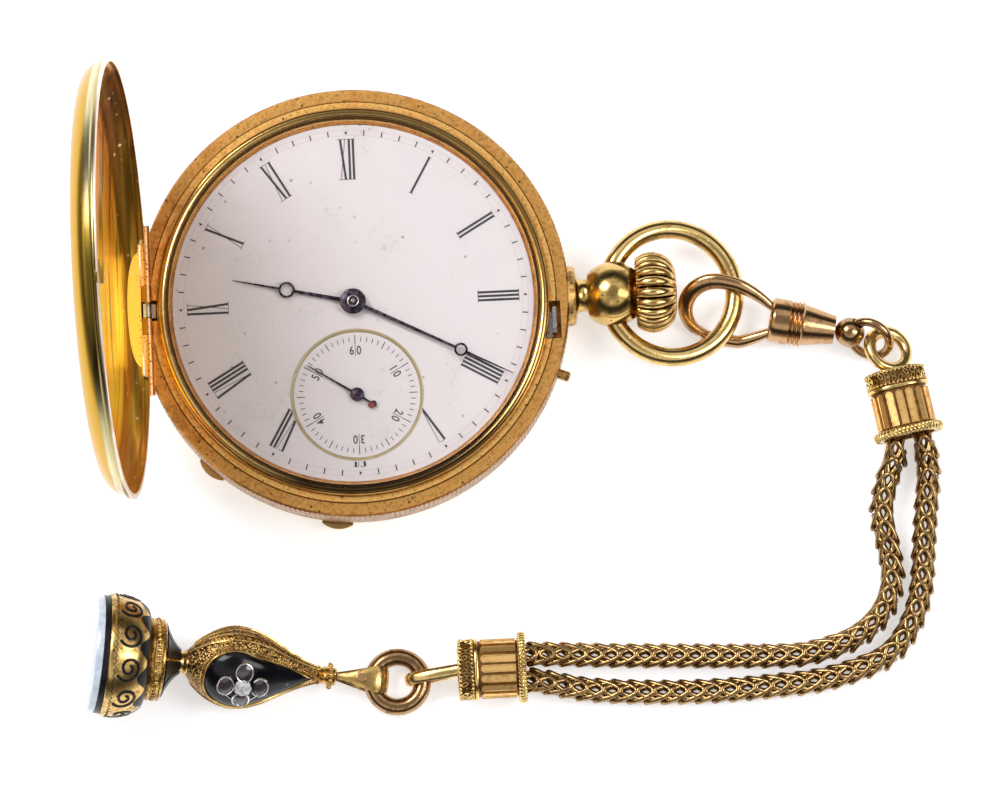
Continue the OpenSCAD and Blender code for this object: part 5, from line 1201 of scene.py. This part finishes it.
def panel_skin():
    """The black drop let into one side of the pear, slightly domed, with a skirt sunk into the gold."""
    line = [Vector(p) for p in drop_outline()]
    bm, verts, edges = circle(len(line))
    middle = Vector((15.4, 0))
    order = {v: k for k, v in enumerate(sorted(verts, key=lambda v: math.atan2(v.co.y, v.co.x)))}
    for i, (share, lift) in enumerate(((0.97, -0.5), (1.0, 0.02), (0.96, 0.16), (0.86, 0.24), (0.72, 0.27),
                                       (0.56, 0.28), (0.4, 0.28), (0.24, 0.28), (0.1, 0.28))):
        if i:
            before = {v.co.to_tuple(5): k for v, k in order.items()}
            verts, edges = grow_from(bm, edges)
            order = {v: before[v.co.to_tuple(5)] for v in verts}
        for vert, k in order.items():
            vert.co = pear_lift(*middle.lerp(line[k], share), lift)
    return close_skin(bm)


def pear_beads(bm, line, size, place):
    """A row of beads along a line of (s, y) points on the pear's front."""
    points = [pear_lift(s, y, 0.05) for s, y in line]
    bead = bead_form(size, 7, 5)
    gap = since = size * 1.9
    for p, q in zip(points, points[1:] + points[:1]):
        stretch = (q - p).length
        while since <= stretch:
            put(bm, bead, place @ Matrix.Translation(p.lerp(q, since / stretch)))
            since += gap
        since -= stretch


def make_fob_body():
    """The granulated pear with raised seams, drop-shaped borders and the beaded collar."""
    count = 56
    bm, verts, edges = circle(64, place=moved(PEAR_S, 0, 0) @ turned_about("Y", 90))
    before = 1.0, 1.0
    for i in range(count + 1):
        s = PEAR_S + PEAR_LEN * i / count
        if i:
            verts, edges = grow_from(bm, edges)
        now = pear_half(s), pear_half(s) * PEAR_FLAT
        for vert in verts:
            vert.co = (s, vert.co.y / before[0] * now[0], vert.co.z / before[1] * now[1])
        before = now
    settle(close_skin(bm), "pear_body", "pear_gold", "fob", FOB @ ROLLED)
    trim = bmesh.new()
    for place in SIDES:
        pear_beads(trim, drop_outline(-0.42), 0.17, place)
        border = [pear_lift(s, y, 0.08) for s, y in drop_outline(-0.12)]
        hints = [Vector((0, p.y, 1.2 * p.z)) for p in border]
        put(trim, sweep(stations(border, hints, 0.17, closed=True), 8, closed=True), place)
    # Raised seams that run from the collar to the neck beside each border
    for angle in (-12, 10, 24, 156, 170, 192):
        a = math.radians(angle)
        line = [pear_at(PEAR_S + 0.3 + (PEAR_LEN - 0.9) * k / 40, a, 0.03) for k in range(41)]
        put(trim, sweep(stations(line, Vector((0, math.cos(a), math.sin(a))), 0.13), 8), ROLLED)
    put_all(trim, bead_form(0.15, 7, 5), (
        ROLLED @ Matrix.Translation(pear_at(PEAR_S + 0.4 + (PEAR_LEN - 1.1) * k / 45, math.radians(angle), 0.04))
        for angle in (1, 179) for k in range(46)))
    along = moved(4.3, 0, 0) @ turned_about("Y", 90)
    put(trim, turn([(0, 0), (0.95, 0), (1.05, 0.2), (0.95, 0.4), (1.25, 0.5), (1.42, 0.75), (1.25, 1.0), (0.95, 1.1),
                    (1.08, 1.3), (1.08, 1.5), (0.9, 1.7), (1.25, 2.1), (0, 2.1)], 40, False), along)
    put_all(trim, bead_form(0.3, 10, 7), (along @ turned_about("Z", 30 * k) @ moved(1.3, 0, 0.75) for k in range(12)))
    settle(trim, "pear_trim", "fob_gold", "fob", FOB, stands_for="fob_body")


def make_panels():
    """The black drops on both sides of the pear."""
    bm = bmesh.new()
    put_all(bm, panel_skin(), SIDES)
    settle(bm, "onyx_drops", "onyx", "fob", FOB, stands_for="fob_panels")


def make_flower():
    """Four dark petals in silver rims round a bright cut stone, on the front of the pear."""
    middle_s, middle_y = 15.4, 0.1
    petals, rims = bmesh.new(), bmesh.new()
    for quarter in (1, 2, 3, 4):
        upright = quarter % 2
        a, far = math.pi / 2 * quarter, 1.75 if upright else 2.0
        top = pear_lift(middle_s + far * math.cos(a), middle_y + far * math.sin(a), 0.27)
        lay = place_at(top, (0, top.y, top.z * 1.3), (1, 0, 0)) @ turned_about("Z", 0 if upright else 90)
        lay @= Matrix.Diagonal((1.12, 0.98, 1, 1) if upright else (0.95, 1.2, 1, 1))
        put(petals, turn([(0, -0.1), (0.95, -0.1), (0.9, 0.1), (0.6, 0.24), (0, 0.3)], 20, False), lay)
        put(rims, ring_form(0.98, 0.11, 36, 8), lay @ moved(0, 0, 0.1))
    settle(petals, "flower_petals", "flower_stone", "fob", FOB @ ROLLED, stands_for="fob_stones")
    lay = Matrix.Translation(pear_lift(middle_s, middle_y, 0.3))
    stone = turn([(0, -0.2), (0.92, -0.1), (0.96, 0.2), (0.55, 0.55), (0, 0.55)], 8, False)
    settle(stone, "flower_centre", "bright_stone", "fob", FOB @ ROLLED @ lay, sharp=10)
    put(rims, ring_form(1.0, 0.1, 8, 8), lay @ moved(0, 0, 0.1))
    curl = [pear_lift(middle_s + 2.2 * x, middle_y + 2.05 * y, 0.3) for x, y in arc((0, 0), 1, 200, 340, 24)]
    put(rims, sweep(stations([Vector((p.x, 2 * middle_y - p.y, p.z)) for p in curl], UP, 0.07), 8))
    settle(rims, "flower_rims", "silver_line", "fob", FOB @ ROLLED)


SEAL_S = 21.7
SCROLLS = 11
DARK_FROM = 4.76


def on_dome(angle, z, grow=0.0):
    """A point of the seal's dome at a turn and a length from its neck."""
    r = 5 + 2.1 * math.sin(math.acos(max(0.0, min(1.0, (9.0 - z) / 4.25)))) + grow
    return Vector((r * math.cos(angle), r * math.sin(angle), z))


def make_seal():
    """Flared neck, roped ring, dome with its running scroll, and the blue stone in its dark edge."""
    place = FOB @ moved(SEAL_S, 0, 0) @ turned_about("Y", 90)
    lower = [(0, 0), (1.45, 0), (1.5, 0.15), (1.25, 0.5), (1.3, 0.9), (1.6, 1.3), (2.3, 1.9), (3.3, 2.5), (4.1, 2.8)]
    ring = [(4.5, 2.86), (4.75, 3.0), (4.8, 3.15), (4.62, 3.3), (4.62, 4.1), (4.8, 4.22), (4.78, 4.4), (4.5, 4.5),
            (4.6, 4.65)]
    dome = [tuple(on_dome(0, 4.75 + 4.25 * k / 20).xz) for k in range(21)]
    body = turn(lower + ring + dome + [(7.1, 9.45), (7.0, 9.6), (0, 9.6)], 120, False)
    rope = moved(4.66, 0, 3.7) @ turned_about("X", 35) @ Matrix.Diagonal((0.62, 0.62, 1.0, 1))
    put_all(body, bead_form(0.34, 8, 6), (turned_about("Z", 360 / 44 * k) @ rope for k in range(44)))
    settle(body, "seal_body", "fob_gold", "fob", place, stands_for="seal_base")
    dark = bmesh.new()
    for k in range(SCROLLS):
        line, ways = [], []
        for i in range(44):
            a = math.radians(-150 + 600 * i / 43)
            reach = 1.5 - 1.25 * (i / 43) ** 0.8
            angle = FULL * k / SCROLLS + reach * math.sin(a) / 6.2
            line.append(on_dome(angle, max(5.0, min(8.6, 7.2 - reach * math.cos(a))), 0.02))
            ways.append(Vector((math.cos(angle), math.sin(angle), -0.5)))
        put(dark, sweep(stations(line, ways, (0.2, 0.1)), 6))
    # The dark ground runs up from the ring to a wave between the scrolls
    heights = [DARK_FROM + 0.16 * k for k in range(9)]
    field = turn([tuple(on_dome(0, z, 0.04).xz) for z in heights]
                 + [tuple(on_dome(0, z, -0.1).xz) for z in heights[::-1]], 198)
    for vert in field.verts:
        off = vert.co.xy.length - on_dome(0, vert.co.z).x
        angle = math.atan2(vert.co.y, vert.co.x)
        wave = 5.55 + 0.55 * math.cos(SCROLLS * angle + 2.2)
        vert.co = on_dome(angle, DARK_FROM + (vert.co.z - DARK_FROM) / 1.28 * (wave - DARK_FROM), off)
    put(dark, field)
    line = [on_dome(FULL * k / 132, 8.85 + (0.13 if k % 2 else -0.13)) for k in range(132)]
    put(dark, sweep(stations(line, [Vector((*p.xy, 0)) for p in line], 0.06, closed=True), 5, closed=True))
    for k in range(8):
        a = math.radians(45 * k + 20)
        flare = [Vector((r * math.cos(a), r * math.sin(a), z))
                 for r, z in ((1.38, 0.85), (1.68, 1.25), (2.38, 1.85), (3.36, 2.42), (4.1, 2.72))]
        radii = [(0.5, 0.12), (0.64, 0.12), (0.92, 0.12), (1.22, 0.12), (1.45, 0.1)]
        put(dark, sweep(stations(flare, -UP, radii), 10))
    settle(dark, "seal_enamel", "black_enamel", "fob", place)
    r = 6.7
    stone = turn([(0, 9.6), (r, 9.6), (r + 0.02, 9.75), (r + 0.02, 10.75), (r - 0.12, 11.05), (r - 0.5, 11.2),
                  (0, 11.2)], 120, False)
    settle(stone, "seal_face", "seal_stone", "fob", place, stands_for="seal_stone")
    edge = turn([(r - 0.1, 9.62), (r + 0.12, 9.62), (r + 0.14, 9.9), (r + 0.08, 10.3), (r - 0.1, 10.3)], 120)
    settle(edge, "seal_edge", "black_enamel", "fob", place)


def make_bail():
    """The two leaves of the bail, broad at the jump ring and pointed at the collar."""
    settle(strap_form(4.35, 1.6, 0.45, 0.24), "bail_leaves", "fob_gold", "fob", FOB, stands_for="fob_bail")


# Dial

NUMERAL_TALL = 4.75
# Strokes of a letter as (offset, width, lean), half its serif and its room
LETTERS = {"I": ([(0, 0.27, 0)], 0.2, 0.46), "V": ([(0.02, 0.27, -0.34), (0.06, 0.07, 0.36)], 0.2, 1.0),
           "X": ([(0.26, 0.27, -0.52), (-0.3, 0.07, 0.6)], 0.5, 1.06)}


def numeral(text):
    """A tall roman numeral standing on its inner end, with hairline serifs."""
    bm = bmesh.new()
    x = -sum(LETTERS[c][2] for c in text) / 2
    for strokes, serif, room in (LETTERS[c] for c in text):
        middle = x + room / 2
        for offset, width, lean in strokes:
            put(bm, flat_bar(math.hypot(NUMERAL_TALL, lean), width),
                moved(middle + offset + lean / 2, NUMERAL_TALL / 2, 0)
                @ turned_about("Z", math.degrees(math.atan2(NUMERAL_TALL, lean))))
        put_all(bm, flat_bar(2 * serif + 0.12, 0.06), [moved(middle, y, 0) for y in (0, NUMERAL_TALL)])
        x += room
    return bm


def from_seconds(face):
    """How far a face lies from the middle of the seconds dial."""
    return (face.calc_center_median().xy - SECONDS_AT.xy).length


def make_numerals():
    """The twelve hours, cut short where the seconds dial lies."""
    bm = bmesh.new()
    for hour, text in enumerate(["XII", "I", "II", "III", "IIII", "V", "VI", "VII", "VIII", "IX", "X", "XI"]):
        put(bm, numeral(text), around_dial(hour * 30, 14.45) @ turned_about("Z", -90))
    # The seconds dial takes the inner ends of the lower numerals
    near = {e for f in bm.faces if from_seconds(f) < 9.5 for e in f.edges}
    bmesh.ops.subdivide_edges(bm, edges=list(near), cuts=15, use_grid_fill=True)
    bmesh.ops.delete(bm, geom=[f for f in bm.faces if from_seconds(f) < 7.72], context="FACES")
    bmesh.ops.holes_fill(bm, edges=[e for e in bm.edges if e.is_boundary], sides=4)
    settle(bm, "dial_numerals", "dial_ink", "case")


def make_minute_track():
    """Two hairline rings with a tick for each minute and an arrow head for each hour."""
    rings, ticks = bmesh.new(), bmesh.new()
    for radius in (19.62, 20.3):
        low, high, top = radius - 0.0225, radius + 0.0225, DIAL_TOP + 0.025
        put(rings, turn([(low, DIAL_TOP), (high, DIAL_TOP), (high, top), (low, top)], 180))
    settle(rings, "minute_rings", "faint_ink", "case")
    tick = flat_bar(0.66, 0.14)
    arrow = rod_form(0.25, PRINT_THICK, moved(0, 0, PRINT_THICK / 2) @ turned_about("Z", 180), 3)
    pointed = turned_about("Z", 90) @ Matrix.Diagonal((0.85, 1.1, 1, 1)) @ turned_about("Z", 90)
    for minute in range(60):
        place = around_dial(minute * 6, 19.95)
        put(ticks, *((tick, place) if minute % 5 else (arrow, place @ pointed)))
    settle(ticks, "minute_ticks", "dial_ink", "case")


def digit_form(text):
    """A printed figure of the seconds dial, its middle at zero."""
    font = bpy.data.curves.new("figure", "FONT")
    font.body, font.size, font.extrude, font.offset = text, 1.4, 0.012, 0.02
    font.align_x, font.align_y = "CENTER", "CENTER"
    holder = bpy.data.objects.new("figure", font)
    bpy.context.scene.collection.objects.link(holder)
    bpy.context.view_layer.update()
    mesh = bpy.data.meshes.new_from_object(holder)
    bm = bmesh.new()
    bm.from_mesh(mesh)
    bmesh.ops.remove_doubles(bm, verts=bm.verts, dist=1e-4)
    bpy.data.meshes.remove(mesh)
    bpy.data.objects.remove(holder)
    bpy.data.curves.remove(font)
    return bm


def make_seconds_print():
    """Rim, sixty ticks and the split figures of the seconds dial."""
    ring = turn([(7.3, 8.26), (7.36, 8.34), (7.52, 8.49), (7.66, 8.5), (7.72, 8.46), (7.5, 8.3)], 144)
    settle(ring, "seconds_rim_line", "seconds_rim", "case", Matrix.Translation(SECONDS_AT))
    marks = bmesh.new()
    tick, long_tick = flat_bar(0.55, 0.085), flat_bar(0.95, 0.1)
    for second in range(60):
        put(marks, tick if second % 5 else long_tick, around_dial(second * 6, 6.5, SECONDS_TOP, SECONDS_AT))
    figures = {text: digit_form(text) for text in "0123456"}
    narrow = Matrix.Diagonal((0.78, 1.0, 1, 1))
    for second in range(10, 70, 10):
        place = around_dial(second * 6, 5.15, SECONDS_TOP + 0.014, SECONDS_AT) @ turned_about("Z", -90)
        put(marks, figures[str(second // 10)], place @ moved(-0.42, 0, 0) @ narrow)
        put(marks, figures["0"], place @ moved(0.42, 0, 0) @ narrow)
        put(marks, flat_bar(1.5, 0.07), around_dial(second * 6, 5.3, SECONDS_TOP, SECONDS_AT))
    settle(marks, "seconds_marks", "dial_ink", "case")


def make_hand_bosses():
    """Bosses of the hands: blued domes, a bright pin in the middle and the red tail of the seconds hand."""
    boss = turn([(0.28, 9.3), (1.46, 9.3), (1.5, 9.36), (1.46, 9.46), (1.1, 9.56), (0.6, 9.6), (0.28, 9.56)], 48)
    settle(boss, "minute_boss", "blued_steel", "minute_body")
    pin = turn([(0, 9.3), (0.26, 9.3), (0.26, 9.62), (0.2, 9.7), (0, 9.72)], 32, False)
    put(pin, ring_form(0.62, 0.06, 32, 8), moved(0, 0, 9.6))
    settle(pin, "centre_pin", "steel", "minute_body")
    tail = turn([(0, 0), (0.36, 0), (0.4, 0.05), (0.36, 0.14), (0, 0.18)], 28, False)
    tail_end = 2.05 * Vector((1.75, -1.4, 0)).normalized()
    settle(tail, "seconds_tail", "tail_red", "fourth_body",
           Matrix.Translation(SECONDS_AT + tail_end + 8.62 * UP))
    cap = turn([(0, 8.7), (0.66, 8.7), (0.68, 8.78), (0.5, 8.86), (0.2, 8.9), (0, 8.9)], 32, False)
    settle(cap, "seconds_boss", "blued_steel", "fourth_body", Matrix.Translation(SECONDS_AT))


# Stage

def make_stage():
    """The pale sheet that the watch lies on."""
    bm = bmesh.new()
    bmesh.ops.create_grid(bm, x_segments=1, y_segments=1, size=3, matrix=moved(0, 0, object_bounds()[0][2] - 0.00005))
    sheet = bpy.data.meshes.new("floor")
    bm.to_mesh(sheet)
    paper = Finish("floor_paper", (0.86, 0.87, 0.90), 0.0, 0.7, Specular_IOR_Level=0.2)
    paper.set("Emission Color", (0.99, 0.99, 1.0))
    paper.set("Emission Strength", 0.5)
    sheet.materials.append(paper.material)
    floor = bpy.data.objects.new("floor", sheet)
    bpy.context.scene.collection.objects.link(floor)
    floor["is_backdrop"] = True


def soft_light(name, place, size, power):
    """A rectangular lamp that looks at the middle of the dial."""
    lamp = bpy.data.lights.new(name, "AREA")
    lamp.shape, lamp.energy = "RECTANGLE", power
    lamp.size, lamp.size_y = size
    light = bpy.data.objects.new(name, lamp)
    turned = Vector(place).to_track_quat("Z", "Y").to_matrix().to_4x4()
    light.matrix_world = Matrix.Translation(place) @ turned
    bpy.context.scene.collection.objects.link(light)


def make_lights():
    """Broad soft lights over the table and a room that darkens towards the horizon."""
    soft_light("key", (-0.5, 0.45, 0.95), (0.5, 0.5), 7.0)
    soft_light("fill", (0.65, -0.1, 0.8), (0.35, 0.6), 3.5)
    world = bpy.data.worlds.new("studio")
    world.use_nodes = True
    n = Nodes(world.node_tree)
    out = n.tree.nodes["World Output"]
    back = n.tree.nodes["Background"]
    up = n.add("ShaderNodeSeparateXYZ", {0: n.add("ShaderNodeTexCoord").outputs["Generated"]}).outputs[2]
    shade = n.ramp(up, [(0.0, (0.75, 0.75, 0.76)), (0.12, (0.30, 0.29, 0.29)), (0.35, (0.03, 0.028, 0.025)),
                        (0.60, (0.06, 0.055, 0.05)), (0.68, (1.0, 0.99, 0.98)), (0.88, (1.0, 1.0, 1.0)),
                        (0.95, (0.42, 0.41, 0.40)), (1.0, (0.36, 0.35, 0.34))])
    n.feed(back.inputs["Color"], shade)
    n.feed(back.inputs["Strength"], 0.85)
    seen = n.add("ShaderNodeBackground", {"Color": (0.95, 0.95, 0.97), "Strength": 1.0})
    mixed = n.add("ShaderNodeMixShader", {0: n.add("ShaderNodeLightPath").outputs["Is Camera Ray"],
                                          1: back.outputs[0], 2: seen.outputs[0]})
    n.feed(out.inputs["Surface"], mixed.outputs[0])
    bpy.context.scene.world = world
    bpy.context.scene.view_settings.view_transform = "Standard"


set_camera()
make_shared_effects()
make_finishes()
make_strand("chain_strand_outer", OUTER_ROUTE)
make_strand("chain_strand_inner", INNER_ROUTE)
for make in (dress_frame, make_stage, make_lights, make_lid, make_milled_edge, make_bezel, make_hinge, make_pendant,
             make_crown, make_hook, make_gate, make_caps, make_bail, make_fob_body, make_panels, make_flower, make_seal,
             make_numerals, make_minute_track, make_seconds_print, make_hand_bosses):
    make()
